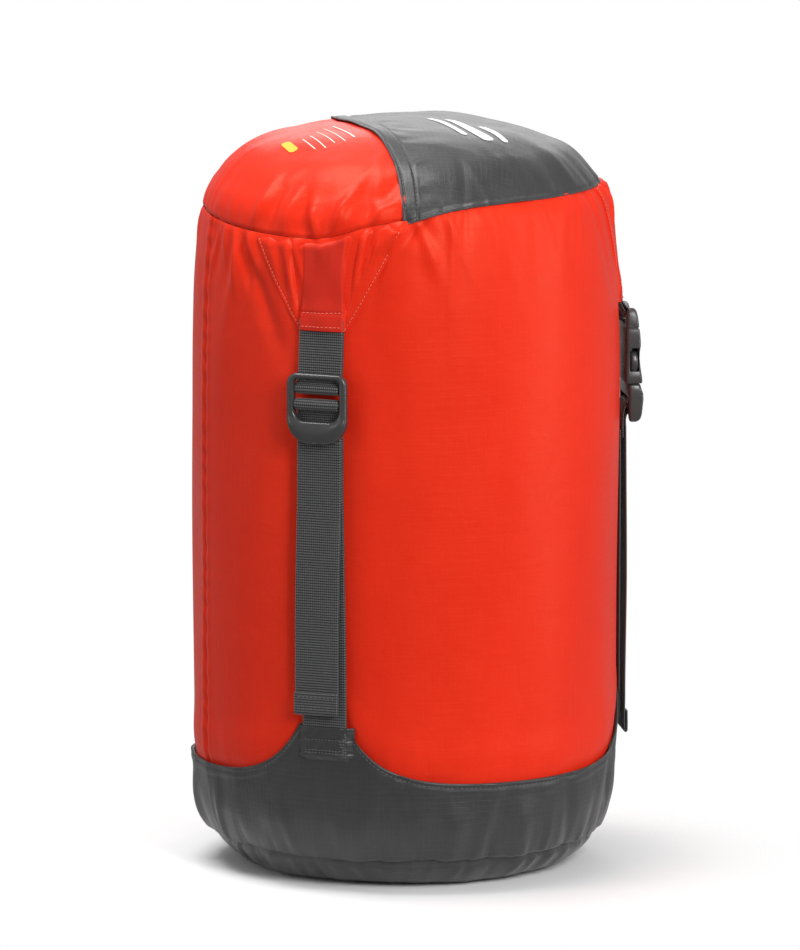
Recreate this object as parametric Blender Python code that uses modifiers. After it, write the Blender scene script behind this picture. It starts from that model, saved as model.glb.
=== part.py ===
"""Stuffed compression sack with a sewn half lid, a hinged half lid and three compression straps.

Metres, +Z up. The origin is the middle of the flat base. +X points to the strap with the
side-release buckle, and the object is symmetric about the XZ plane.
Strap pieces are shaped in a strap frame (X outward, Y along the girth, Z up), then turned to
their strap's place.
"""

import math

import bmesh
import bpy
from mathutils import Matrix, Vector

# Overall form: (radius, height) of the outer cloth, from the base upwards
SACK_HEIGHT = 0.402
BASE_FLAT_RADIUS = 0.080
BASE_SEAM = (0.1016, 0.0146)
BASE_SHAPE = [(0.0, 0.0), (BASE_FLAT_RADIUS, 0.0), (0.087, 0.0022), (0.0935, 0.0062), (0.0980, 0.0102), BASE_SEAM]
SKIRT_SHAPE = [(0.1024, 0.0156), (0.1065, 0.023), (0.110, 0.034), (0.112, 0.050), (0.1138, 0.090)]
WALL_SHAPE = [
    (0.1102, 0.046), (0.1125, 0.090), (0.1139, 0.150), (0.1140, 0.240),
    (0.1136, 0.290), (0.1124, 0.320), (0.1104, 0.342), (0.1076, 0.3592),
]
LID_RIM = (0.1072, 0.3606)
LID_SHAPE = [
    (0.0, SACK_HEIGHT), (0.030, 0.4012), (0.050, 0.3988), (0.064, 0.3956), (0.077, 0.3903),
    (0.086, 0.3850), (0.0945, 0.3781), (0.1005, 0.3712), LID_RIM,
]
CONTENTS_SHAPE = [
    (0.0, 0.3885), (0.030, 0.3880), (0.060, 0.3845), (0.080, 0.3775), (0.094, 0.3660), (0.1015, 0.353),
    (0.1060, 0.337), (0.1095, 0.315), (0.1118, 0.285), (0.1122, 0.240), (0.1120, 0.150), (0.1108, 0.090),
    (0.1088, 0.050), (0.1070, 0.034), (0.1035, 0.0235), (0.0975, 0.0145), (0.090, 0.0080), (0.080, 0.0020),
    (0.0, 0.0020),
]
CLOTH = 0.0010
GAP = 0.0004
ROUND_STEPS = 60

# Scalloped top edge of the base skirt
SCALLOP_LOW = 0.0585
SCALLOP_PEAK = 0.090
SCALLOP_FLAT_ANGLE = math.radians(6.6)
SCALLOP_FALL_ANGLE = math.radians(9.0)

# Straps
STRAP_ANGLES = {"front": math.radians(-120), "rear": math.radians(120), "release": 0.0}
LADDER_STRAPS = ("front", "rear")
WEBBING_WIDTH = 0.025
WEBBING = 0.0011
STRAP_INNER = 0.1144
SECOND_LAYER = STRAP_INNER + WEBBING + GAP
THIRD_LAYER = SECOND_LAYER + WEBBING + 0.00035
ANCHOR_LOW = 0.072
ANCHOR_HIGH = 0.091
FOLD_HEIGHT = 0.011
TAIL_END = {"front": 0.0965, "rear": 0.1040, "release": 0.0670}

# Gussets that sew the upper straps to the lid
GUSSET_LOW = 0.3036
GUSSET_HIGH = 0.3568
GUSSET_LOW_ANGLE = math.radians(6.6)
GUSSET_HIGH_ANGLE = math.radians(23.2)

# Lid: the fold line lies off centre, and the sewn band reaches past it under the fold
FOLD_LINE_X = -0.0150
BAND_EDGE_X = 0.0220
FLAP_HINGE_Z = 0.3750

# Mouth: a gathered collar with a drawcord in its hem
MOUTH_CENTRE_X = 0.042
THROAT_HALF_X = 0.020
THROAT_HALF_Y = 0.032
DRAWCORD_RADIUS = 0.0017
HEM_RADIUS = 0.0027
COLLAR_RIM_RADIUS = 0.1025
COLLAR_DROP = 0.0030
HEM_DROP = 0.0056
EYELET_OUTER = 0.0042
EYELET_INNER = 0.0021

# Ladder lock: bar 1 holds the upper strap, bar 2 the adjustable strap
LOCK_WIDTH = 0.0338
LOCK_LOW = 0.2425
LOCK_HIGH = 0.2790
LOCK_BACK = 0.1189
LOCK_FRONT = 0.1252
LOCK_LIP_HEIGHT = 0.0140
LOCK_WINDOW = (0.2578, 0.2754)
LOCK_RIM_BACK = 0.1222
WINDOW_HALF = 0.0132
BAR_1 = (0.1204, 0.2708)
BAR_1_RADIUS = 0.0011
BAR_2 = (0.1206, 0.2628)
BAR_2_RADIUS = 0.0017

# Side-release buckle: the socket is above, and the plug with its adjusting bar below
SOCKET_LOW = 0.2535
SOCKET_HIGH = 0.2980
SOCKET_BACK = 0.1172
SOCKET_FRONT = 0.1276
SOCKET_WIDTH = 0.0340
SOCKET_BAR = (0.1222, 0.2934)
SOCKET_BAR_RADIUS = 0.0021
SOCKET_CAVITY_TOP = 0.2795
SOCKET_CAVITY_HALF = 0.0134
SOCKET_CAVITY_BACK = 0.1192
SOCKET_CAVITY_FRONT = 0.1256
SOCKET_WINDOW = (0.2620, 0.2735)
SOCKET_SIDE = [
    (0.1272, 0.2535), (0.1276, 0.2550), (0.1276, 0.2592), (0.1266, 0.2614), (0.1262, 0.2650), (0.1263, 0.2720),
    (0.1272, 0.2756), (0.1276, 0.2800), (0.1275, 0.2888), (0.1266, 0.2945), (0.1250, 0.2980),
]
PLUG_LOW = 0.2340
PLUG_HIGH = 0.2531
PLUG_BACK = 0.1189
PLUG_FRONT = 0.1279
PLUG_WIDTH = 0.0330
PLUG_SIDE = [
    (0.1238, 0.2340), (0.1262, 0.2349), (0.1274, 0.2370), (0.1279, 0.2410), (0.1279, 0.2500), (0.1275, 0.2531),
]
PLUG_WINDOW = (0.2388, 0.2494)
PLUG_BAR = (0.1206, 0.2442)
TONGUE_TOP = 0.2700
PRONG_ROOT = (0.0098, 0.2552)
PRONG_TOP = 0.2762
PRONG_BACK = 0.1201
PRONG_FRONT = 0.1247

FINISHES = {
    "red_cloth": ((0.80, 0.045, 0.018), 0.42, 0.0),
    "grey_cloth": ((0.055, 0.055, 0.057), 0.50, 0.0),
    "webbing": ((0.048, 0.050, 0.050), 0.75, 0.0),
    "plastic": ((0.060, 0.060, 0.062), 0.38, 0.0),
    "cord": ((0.030, 0.030, 0.032), 0.70, 0.0),
    "contents": ((0.025, 0.035, 0.055), 0.60, 0.0),
}


def clear_scene():
    for obj in list(bpy.data.objects):
        bpy.data.objects.remove(obj, do_unlink=True)


def new_collection(name):
    collection = bpy.data.collections.new(name)
    bpy.context.scene.collection.children.link(collection)
    return collection


def new_material(name, finish):
    color, roughness, metallic = FINISHES[finish]
    material = bpy.data.materials.new(name + "_finish")
    material.use_nodes = True
    shader = material.node_tree.nodes["Principled BSDF"]
    shader.inputs["Base Color"].default_value = (*color, 1.0)
    shader.inputs["Roughness"].default_value = roughness
    shader.inputs["Metallic"].default_value = metallic
    return material


def add_part(name, mesh, finish, strap_angle=0.0, pivot=(0.0, 0.0, 0.0)):
    """Adds a sub-part whose mesh is in the strap frame, with its origin moved to the pivot."""
    mesh.transform(Matrix.Translation(-Vector(pivot)))
    mesh.name = name
    obj = bpy.data.objects.new(name, mesh)
    mesh.materials.clear()
    mesh.materials.append(new_material(name, finish))
    parts.objects.link(obj)
    turn = Matrix.Rotation(strap_angle, 4, "Z")
    obj.location = turn @ Vector(pivot)
    obj.rotation_euler.z = strap_angle
    return obj


def add_cutter(mesh, target, name):
    """Adds a hidden cutter, given in the strap frame, beside the part that it cuts."""
    pivot = Matrix.Rotation(-target.rotation_euler.z, 4, "Z") @ target.location
    mesh.transform(Matrix.Translation(-pivot))
    cutter = bpy.data.objects.new(name, mesh)
    cutters.objects.link(cutter)
    cutter.location = target.location
    cutter.rotation_euler.z = target.rotation_euler.z
    cutter.hide_render = True
    cutter.display_type = "WIRE"
    return cutter


def combine(target, mesh, name, operation):
    cutter = add_cutter(mesh, target, target.name + "_" + name)
    modifier = target.modifiers.new(name, "BOOLEAN")
    modifier.operation = operation
    modifier.solver = "EXACT"
    modifier.object = cutter


def add_bevel(obj, width, segments=2, angle=40):
    modifier = obj.modifiers.new("Soft edges", "BEVEL")
    modifier.width = width
    modifier.segments = segments
    modifier.limit_method = "ANGLE"
    modifier.angle_limit = math.radians(angle)
    modifier.harden_normals = False


def add_thickness(obj, thickness=CLOTH):
    """Thickens an open cloth surface inwards, away from its outer face."""
    modifier = obj.modifiers.new("Cloth", "SOLIDIFY")
    modifier.thickness = thickness
    modifier.offset = -1.0
    modifier.use_even_offset = True


def smooth(obj, angle=40):
    obj.data.shade_smooth()
    obj.data.set_sharp_from_angle(angle=math.radians(angle))


def mesh_from(bm, outward=True):
    if outward:
        bmesh.ops.recalc_face_normals(bm, faces=bm.faces)
    mesh = bpy.data.meshes.new("shape")
    bm.to_mesh(mesh)
    bm.free()
    return mesh


def box_mesh(x, y, z):
    """A box between two values on each axis."""
    bm = bmesh.new()
    bmesh.ops.create_cube(bm, size=1.0)
    size = Vector((x[1] - x[0], y[1] - y[0], z[1] - z[0]))
    middle = Vector((sum(x) / 2, sum(y) / 2, sum(z) / 2))
    bmesh.ops.scale(bm, vec=size, verts=bm.verts)
    bmesh.ops.translate(bm, vec=middle, verts=bm.verts)
    return mesh_from(bm)


def bar_mesh(centre, radius, half_length):
    """A round bar along Y at (x, z)."""
    bm = bmesh.new()
    bmesh.ops.create_cone(
        bm, cap_ends=True, segments=16, radius1=radius, radius2=radius, depth=2 * half_length,
        matrix=Matrix.Rotation(math.pi / 2, 4, "X"),
    )
    bmesh.ops.translate(bm, vec=(centre[0], 0.0, centre[1]), verts=bm.verts)
    return mesh_from(bm)


def outline_mesh(loops, low, high, facing):
    """A flat outline, with holes after its first loop, made solid from low to high.

    facing "Y" takes (x, z) points and fills along Y; facing "X" takes (y, z) points.
    """
    curve = bpy.data.curves.new("outline", "CURVE")
    curve.dimensions = "2D"
    curve.fill_mode = "BOTH"
    curve.extrude = (high - low) / 2
    for loop in loops:
        spline = curve.splines.new("POLY")
        spline.points.add(len(loop) - 1)
        for point, (u, v) in zip(spline.points, loop):
            point.co = (u, v, 0.0, 1.0)
        spline.use_cyclic_u = True
    flat = bpy.data.objects.new("outline", curve)
    bpy.context.scene.collection.objects.link(flat)
    depsgraph = bpy.context.evaluated_depsgraph_get()
    mesh = bpy.data.meshes.new_from_object(flat.evaluated_get(depsgraph))
    bpy.data.objects.remove(flat, do_unlink=True)
    bpy.data.curves.remove(curve)
    middle = (low + high) / 2
    if facing == "Y":
        axes = Matrix(((1, 0, 0, 0), (0, 0, -1, middle), (0, 1, 0, 0), (0, 0, 0, 1)))
    else:
        axes = Matrix(((0, 0, 1, middle), (1, 0, 0, 0), (0, 1, 0, 0), (0, 0, 0, 1)))
    mesh.transform(axes)
    bm = bmesh.new()
    bm.from_mesh(mesh)
    bpy.data.meshes.remove(mesh)
    bmesh.ops.remove_doubles(bm, verts=bm.verts, dist=1e-6)
    return mesh_from(bm)


def arc(centre, radius, start, end, steps):
    """Points on an arc, with its angles in degrees."""
    points = []
    for step in range(steps + 1):
        angle = math.radians(start + (end - start) * step / steps)
        points.append((centre[0] + radius * math.cos(angle), centre[1] + radius * math.sin(angle)))
    return points


def rounded_rectangle(u, v, low_radius, high_radius, steps=4):
    corners = [
        ((u[1] - low_radius, v[0] + low_radius), low_radius, -90),
        ((u[1] - high_radius, v[1] - high_radius), high_radius, 0),
        ((u[0] + high_radius, v[1] - high_radius), high_radius, 90),
        ((u[0] + low_radius, v[0] + low_radius), low_radius, 180),
    ]
    points = []
    for centre, radius, start in corners:
        points += arc(centre, radius, start, start + 90, steps)
    return points


def lipped_frame(half, low, high, lip_height, corner, steps=14):
    """A frame's outline with rounded top corners and a broad curved lip below."""
    points = []
    for step in range(steps + 1):
        turn = math.radians(180 + 180 * step / steps)
        across, down = math.cos(turn), math.sin(turn)
        wide = math.copysign(abs(across) ** 0.82, across)
        points.append((half * wide, low + lip_height - lip_height * abs(down) ** 0.92))
    points += arc((half - corner, high - corner), corner, 0, 90, 5)
    points += arc((corner - half, high - corner), corner, 90, 180, 5)
    return points


def side_shape(front, back):
    """A buckle's side outline: its front points from low to high, closed along a flat back."""
    return front + [(back, front[-1][1]), (back, front[0][1])]


def ribbon_outline(path, thickness):
    """The outline of a flat band of even thickness along a path of (x, z) points."""
    left = []
    right = []
    for index, point in enumerate(path):
        before = Vector(path[max(index - 1, 0)])
        after = Vector(path[min(index + 1, len(path) - 1)])
        here = Vector(point)
        normal = (after - before).normalized().orthogonal()
        left.append(tuple(here + normal * thickness / 2))
        right.append(tuple(here - normal * thickness / 2))
    return left + right[::-1]


def profile_value(shape, height):
    """Radius of an outline of (radius, height) points at a height, on a smooth curve."""
    points = sorted(shape, key=lambda point: point[1])
    height = min(max(height, points[0][1]), points[-1][1])
    index = 0
    while index < len(points) - 2 and points[index + 1][1] < height:
        index += 1
    low, high = points[index], points[index + 1]
    share = (height - low[1]) / (high[1] - low[1])
    before = points[max(index - 1, 0)]
    after = points[min(index + 2, len(points) - 1)]
    span = high[1] - low[1]
    slope_low = (high[0] - before[0]) / (high[1] - before[1]) * span
    slope_high = (after[0] - low[0]) / (after[1] - low[1]) * span
    cubic, square = share ** 3, share ** 2
    return (
        (2 * cubic - 3 * square + 1) * low[0] + (cubic - 2 * square + share) * slope_low
        + (3 * square - 2 * cubic) * high[0] + (cubic - square) * slope_high
    )


def lid_height(radius):
    """Height of the lid's outer face at a radius."""
    flipped = [(height, distance) for distance, height in LID_SHAPE]
    return profile_value(flipped, min(radius, LID_RIM[0]))


def turned_part(name, profile, finish, thickness=None, steps=ROUND_STEPS):
    """A profile of (radius, height) points, top first, turned about Z."""
    bm = bmesh.new()
    verts = [bm.verts.new((radius, 0.0, height)) for radius, height in profile]
    for first, second in zip(verts, verts[1:]):
        bm.edges.new((first, second))
    obj = add_part(name, mesh_from(bm, outward=False), finish)
    screw = obj.modifiers.new("Turn", "SCREW")
    screw.steps = steps
    screw.render_steps = steps
    screw.use_merge_vertices = True
    screw.merge_threshold = 0.00005
    if thickness:
        add_thickness(obj, thickness)
    return obj


def grid_mesh(rows, close=False):
    """A surface through rows of points; close joins each row's ends."""
    bm = bmesh.new()
    grid = [[bm.verts.new(point) for point in row] for row in rows]
    for upper, lower in zip(grid, grid[1:]):
        count = len(upper)
        for column in range(count if close else count - 1):
            after = (column + 1) % count
            bm.faces.new((upper[column], lower[column], lower[after], upper[after]))
    mesh = bpy.data.meshes.new("surface")
    bm.to_mesh(mesh)
    bm.free()
    return mesh


def on_sack(radius, angle, height):
    return Vector((radius * math.cos(angle), radius * math.sin(angle), height))


def scallop_height(angle):
    """Height of the skirt's top edge: a narrow peak at each strap, low in between."""
    nearest = min(abs(math.remainder(angle - strap, 2 * math.pi)) for strap in STRAP_ANGLES.values())
    fall = math.exp(-max(nearest - SCALLOP_FLAT_ANGLE, 0.0) / SCALLOP_FALL_ANGLE)
    return SCALLOP_LOW + (SCALLOP_PEAK - SCALLOP_LOW) * fall


def build_base():
    base = turned_part("base_disc", BASE_SHAPE[::-1], "grey_cloth", CLOTH)
    smooth(base)
    rows = []
    columns = 84
    levels = 5
    bottom = SKIRT_SHAPE[0][1]
    for level in range(levels + 1):
        row = []
        for column in range(columns):
            angle = 2 * math.pi * column / columns
            top = scallop_height(angle)
            height = top + (bottom - top) * level / levels
            row.append(on_sack(profile_value(SKIRT_SHAPE, height), angle, height))
        rows.append(row)
    skirt = add_part("base_skirt", grid_mesh(rows, close=True), "grey_cloth")
    add_thickness(skirt)
    smooth(skirt)


def build_wall_and_contents():
    wall = turned_part("body_wall", WALL_SHAPE[::-1], "red_cloth", CLOTH)
    smooth(wall)
    contents = turned_part("packed_contents", CONTENTS_SHAPE, "contents", steps=40)
    smooth(contents)


def lid_surface(low_x, high_x):
    """The part of the domed lid between two planes across X."""
    bm = bmesh.new()
    verts = [bm.verts.new((radius, 0.0, height)) for radius, height in LID_SHAPE]
    edges = [bm.edges.new(pair) for pair in zip(verts, verts[1:])]
    bmesh.ops.spin(
        bm, geom=verts + edges, cent=(0, 0, 0), axis=(0, 0, 1), angle=2 * math.pi, steps=ROUND_STEPS,
        use_merge=True,
    )
    bmesh.ops.remove_doubles(bm, verts=bm.verts, dist=1e-6)
    for plane_x, keep_side in ((low_x, -1), (high_x, 1)):
        if plane_x is not None:
            bmesh.ops.bisect_plane(
                bm, geom=bm.verts[:] + bm.edges[:] + bm.faces[:], dist=1e-7,
                plane_co=(plane_x, 0, 0), plane_no=(keep_side, 0, 0), clear_outer=True,
            )
    bmesh.ops.remove_doubles(bm, verts=bm.verts, dist=1e-5)
    bmesh.ops.recalc_face_normals(bm, faces=bm.faces)
    bm.faces.ensure_lookup_table()
    if bm.faces[0].normal.z < 0:
        bmesh.ops.reverse_faces(bm, faces=bm.faces)
    return mesh_from(bm, outward=False)


def build_lid():
    panel = add_part("lid_panel", lid_surface(None, FOLD_LINE_X - GAP / 2), "red_cloth")
    band = add_part("lid_band", lid_surface(FOLD_LINE_X + GAP / 2, BAND_EDGE_X - GAP / 2), "grey_cloth")
    hinge = (FOLD_LINE_X, 0.0, FLAP_HINGE_Z)
    flap = add_part("lid_flap", lid_surface(BAND_EDGE_X + GAP / 2, None), "grey_cloth", pivot=hinge)
    for piece in (panel, band, flap):
        add_thickness(piece)
        smooth(piece)


def collar_edge(angle):
    """Where a ray from the throat's centre meets the collar's D-shaped outer edge."""
    across, along = math.cos(angle), math.sin(angle)
    half = MOUTH_CENTRE_X * across
    reach = -half + math.sqrt(half ** 2 + COLLAR_RIM_RADIUS ** 2 - MOUTH_CENTRE_X ** 2)
    if across < 0:
        reach = min(reach, (MOUTH_CENTRE_X - FOLD_LINE_X) / -across)
    return reach


def build_mouth():
    columns = 48
    curl = (100, 50, 0, -50, -100, -145)
    rows = [[] for _ in range(4 + len(curl))]
    for column in range(columns):
        angle = -2 * math.pi * column / columns
        ray = Vector((math.cos(angle), math.sin(angle), 0.0))
        reach = collar_edge(angle)
        throat = Vector((THROAT_HALF_X * math.cos(angle), THROAT_HALF_Y * math.sin(angle), 0.0))
        centre = Vector((MOUTH_CENTRE_X, 0.0, 0.0))
        hem_line = centre + throat
        inward = -throat.normalized()
        hem_height = lid_height(hem_line.length) - HEM_DROP
        outer_point = centre + ray * reach
        inner_point = hem_line - inward * 0.006
        for level in range(4):
            share = level / 3
            point = outer_point.lerp(inner_point, share)
            drop = COLLAR_DROP + 0.0004 * share
            rows[level].append(Vector((point.x, point.y, lid_height(point.length) - drop)))
        for level, turn in enumerate(curl):
            point = hem_line + inward * HEM_RADIUS * math.cos(math.radians(turn))
            height = hem_height + HEM_RADIUS * math.sin(math.radians(turn))
            rows[4 + level].append(Vector((point.x, point.y, height)))
    collar = add_part("mouth_collar", grid_mesh(rows, close=True), "red_cloth")
    add_thickness(collar, 0.0006)
    smooth(collar, 60)

    rows = []
    for turn in range(8):
        around = 2 * math.pi * turn / 8
        row = []
        for column in range(columns):
            angle = 2 * math.pi * column / columns
            throat = Vector((THROAT_HALF_X * math.cos(angle), THROAT_HALF_Y * math.sin(angle), 0.0))
            hem_line = Vector((MOUTH_CENTRE_X, 0.0, 0.0)) + throat
            side = throat.normalized() * DRAWCORD_RADIUS * math.cos(around)
            up = lid_height(hem_line.length) - HEM_DROP + DRAWCORD_RADIUS * math.sin(around)
            row.append(Vector((hem_line.x + side.x, hem_line.y + side.y, up)))
        rows.append(row)
    rows.append(rows[0])
    bm = bmesh.new()
    bm.from_mesh(grid_mesh(rows, close=True))
    bmesh.ops.remove_doubles(bm, verts=bm.verts, dist=1e-6)
    drawcord = add_part("mouth_drawcord", mesh_from(bm), "cord")
    smooth(drawcord, 60)

    eyelet_x = MOUTH_CENTRE_X + THROAT_HALF_X + 0.013
    height = lid_height(eyelet_x) - COLLAR_DROP + 0.0004
    ring = [arc((eyelet_x, 0.0), radius, 0, 360 - 360 / 20, 19) for radius in (EYELET_OUTER, EYELET_INNER)]
    mesh = outline_mesh(ring, 0.0, 0.0008, "X")
    mesh.transform(Matrix(((0, 1, 0, 0), (0, 0, 1, 0), (1, 0, 0, height), (0, 0, 0, 1))))
    eyelet = add_part("drawcord_eyelet", mesh, "plastic")
    tilt = math.atan2(lid_height(eyelet_x - 0.004) - lid_height(eyelet_x + 0.004), 0.008)
    move = Matrix.Translation((eyelet_x, 0.0, height))
    eyelet.data.transform(move @ Matrix.Rotation(tilt, 4, "Y") @ move.inverted())
    smooth(eyelet)


def build_gusset(strap):
    """The tapered cloth piece that spreads a strap's pull along the lid's seam."""
    rows = []
    levels = 5
    columns = 10
    for level in range(levels + 1):
        share = level / levels
        height = GUSSET_HIGH + (GUSSET_LOW - GUSSET_HIGH) * share
        half = GUSSET_HIGH_ANGLE + (GUSSET_LOW_ANGLE - GUSSET_HIGH_ANGLE) * share
        radius = profile_value(WALL_SHAPE, height) + GAP + CLOTH
        angles = [half * (2 * column / columns - 1) for column in range(columns + 1)]
        rows.append([on_sack(radius, angle, height) for angle in angles])
    pivot = (LID_RIM[0], 0.0, LID_RIM[1]) if strap == "release" else (0.0, 0.0, 0.0)
    gusset = add_part("gusset_" + strap, grid_mesh(rows), "red_cloth", STRAP_ANGLES[strap], pivot)
    add_thickness(gusset)
    smooth(gusset)


def looped_strap(bar, bar_radius, top):
    """Side outline of a doubled strap that runs down the wall and loops round a bar."""
    hole = bar_radius + GAP
    outer = hole + WEBBING
    double = 2 * WEBBING
    loop = arc(bar, outer, 46, -208, 14)
    leave = bar[1] + 0.0072
    outline = [(STRAP_INNER + double, leave)] + loop + [(STRAP_INNER, leave - 0.0025)]
    outline += [(STRAP_INNER, top), (STRAP_INNER + double, top)]
    return [outline, arc(bar, hole, 0, 345, 23)]


def build_upper_strap(strap):
    if strap == "release":
        loops = looped_strap(SOCKET_BAR, SOCKET_BAR_RADIUS, GUSSET_LOW - GAP)
        pivot = (LID_RIM[0], 0.0, LID_RIM[1])
    else:
        loops = looped_strap(BAR_1, BAR_1_RADIUS, GUSSET_LOW - GAP)
        pivot = (0.0, 0.0, 0.0)
    half = WEBBING_WIDTH / 2
    mesh = outline_mesh(loops, -half, half, "Y")
    smooth(add_part("upper_strap_" + strap, mesh, "webbing", STRAP_ANGLES[strap], pivot))


def build_strap_wrap(strap, bar, lip_low, pivot, leg_low):
    """The adjustable strap's turn over a buckle's bar, open to the load strap and the tail."""
    inner_x = SECOND_LAYER + WEBBING / 2
    outer_x = THIRD_LAYER + WEBBING / 2
    radius = BAR_2_RADIUS + GAP + WEBBING / 2
    path = [(inner_x, leg_low), (inner_x, bar[1] - 0.004), (inner_x + 0.0002, bar[1] - 0.001)]
    path += arc(bar, radius, 158, -104, 14)
    path += [(outer_x + 0.0009, bar[1] - 0.0036), (outer_x + 0.0002, bar[1] - 0.0052)]
    path += [(outer_x, bar[1] - 0.0066), (outer_x, lip_low + GAP / 2)]
    half = WEBBING_WIDTH / 2
    mesh = outline_mesh([ribbon_outline(path, WEBBING)], -half, half, "Y")
    smooth(add_part("strap_wrap_" + strap, mesh, "webbing", STRAP_ANGLES[strap], pivot))


def build_tail(strap, top):
    """The strap's free end, with its last stretch folded over and sewn."""
    low = TAIL_END[strap]
    face = THIRD_LAYER + WEBBING
    outline = [
        (THIRD_LAYER, top), (THIRD_LAYER, low + 0.0006), (THIRD_LAYER + 0.0006, low),
        (face + 0.0006, low), (face + WEBBING, low + 0.0006), (face + WEBBING, low + FOLD_HEIGHT),
        (face, low + FOLD_HEIGHT + 0.0004), (face, top),
    ]
    half = WEBBING_WIDTH / 2
    mesh = outline_mesh([outline], -half, half, "Y")
    pivot = (face, 0.0, top)
    smooth(add_part("strap_tail_" + strap, mesh, "webbing", STRAP_ANGLES[strap], pivot))


def build_load_strap(strap, top):
    """The loaded run of a strap, from its sewn anchor up to its buckle."""
    half = WEBBING_WIDTH / 2
    sides = ((STRAP_INNER, STRAP_INNER + WEBBING), (-half, half), (ANCHOR_LOW, top))
    add_part("load_strap_" + strap, box_mesh(*sides), "webbing", STRAP_ANGLES[strap])


def build_anchor(strap):
    """The cloth patch that holds a load strap against the skirt."""
    half = WEBBING_WIDTH / 2 + 0.0015
    front = SECOND_LAYER + CLOTH
    plan = [
        (front, -half), (front, half), (STRAP_INNER + 0.0002, half), (STRAP_INNER + 0.0002, half - 0.0011),
        (SECOND_LAYER, half - 0.0011), (SECOND_LAYER, 0.0011 - half),
        (STRAP_INNER + 0.0002, 0.0011 - half), (STRAP_INNER + 0.0002, -half),
    ]
    mesh = outline_mesh([plan], ANCHOR_LOW, ANCHOR_HIGH, "X")
    mesh.transform(Matrix(((0, 1, 0, 0), (0, 0, 1, 0), (1, 0, 0, 0), (0, 0, 0, 1))))
    smooth(add_part("lower_anchor_" + strap, mesh, "grey_cloth", STRAP_ANGLES[strap]))


def build_ladder_lock(strap):
    pivot = (BAR_1[0], 0.0, BAR_1[1])
    half = LOCK_WIDTH / 2
    frame = lipped_frame(half, LOCK_LOW, LOCK_HIGH, LOCK_LIP_HEIGHT, 0.0062)
    window = rounded_rectangle((-WINDOW_HALF, WINDOW_HALF), LOCK_WINDOW, 0.0012, 0.0012, 2)
    lock = add_part(
        "ladder_lock_" + strap, outline_mesh([frame, window], LOCK_BACK, LOCK_FRONT, "X"), "plastic",
        STRAP_ANGLES[strap], pivot,
    )
    add_bevel(lock, 0.0010, 3)
    behind = box_mesh((LOCK_BACK - 0.002, LOCK_RIM_BACK), (-WINDOW_HALF, WINDOW_HALF), (0.2740, LOCK_HIGH + 0.002))
    combine(lock, behind, "strap_way", "DIFFERENCE")
    for name, bar, radius in (("bar_1", BAR_1, BAR_1_RADIUS), ("bar_2", BAR_2, BAR_2_RADIUS)):
        combine(lock, bar_mesh(bar, radius, WINDOW_HALF + 0.0015), name, "UNION")
    smooth(lock)


def build_socket():
    pivot = (LID_RIM[0], 0.0, LID_RIM[1])
    half = SOCKET_WIDTH / 2
    face = rounded_rectangle((-half, half), (SOCKET_LOW, SOCKET_HIGH), 0.0024, 0.0060)
    socket = add_part(
        "buckle_socket", outline_mesh([face], SOCKET_BACK, SOCKET_FRONT, "X"), "plastic", pivot=pivot,
    )
    side = outline_mesh([side_shape(SOCKET_SIDE, SOCKET_BACK)], -half, half, "Y")
    combine(socket, side, "side_shape", "INTERSECT")
    add_bevel(socket, 0.0012, 3)
    past = 0.003
    cavity = box_mesh(
        (SOCKET_CAVITY_BACK, SOCKET_CAVITY_FRONT), (-SOCKET_CAVITY_HALF, SOCKET_CAVITY_HALF),
        (SOCKET_LOW - past, SOCKET_CAVITY_TOP),
    )
    combine(socket, cavity, "cavity", "DIFFERENCE")
    windows = box_mesh(
        (SOCKET_CAVITY_BACK - 0.0004, SOCKET_CAVITY_FRONT + 0.0004), (-half - past, half + past), SOCKET_WINDOW,
    )
    combine(socket, windows, "side_windows", "DIFFERENCE")
    slot_low = SOCKET_BAR[1] - SOCKET_BAR_RADIUS - GAP - WEBBING - 0.0011
    slot = box_mesh(
        (SOCKET_BACK - past, SOCKET_FRONT + past), (-WINDOW_HALF, WINDOW_HALF), (slot_low, SOCKET_HIGH + past),
    )
    combine(socket, slot, "strap_slot", "DIFFERENCE")
    combine(socket, bar_mesh(SOCKET_BAR, SOCKET_BAR_RADIUS, WINDOW_HALF + 0.0015), "bar", "UNION")
    smooth(socket)


def build_plug():
    pivot = (PLUG_BAR[0], 0.0, PLUG_HIGH)
    half = PLUG_WIDTH / 2
    body = rounded_rectangle((-half, half), (PLUG_LOW, PLUG_HIGH), 0.0070, 0.0022)
    window = rounded_rectangle((-WINDOW_HALF, WINDOW_HALF), PLUG_WINDOW, 0.0012, 0.0012, 2)
    plug = add_part(
        "buckle_plug", outline_mesh([body, window], PLUG_BACK, PLUG_FRONT, "X"), "plastic", pivot=pivot,
    )
    side = outline_mesh([side_shape(PLUG_SIDE, PLUG_BACK)], -half, half, "Y")
    combine(plug, side, "side_shape", "INTERSECT")
    add_bevel(plug, 0.0008)
    combine(plug, bar_mesh(PLUG_BAR, BAR_2_RADIUS, WINDOW_HALF + 0.0015), "bar", "UNION")
    tongue = box_mesh((0.1208, 0.1240), (-0.0026, 0.0026), (PLUG_HIGH - 0.002, TONGUE_TOP))
    combine(plug, tongue, "tongue", "UNION")
    smooth(plug)


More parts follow.
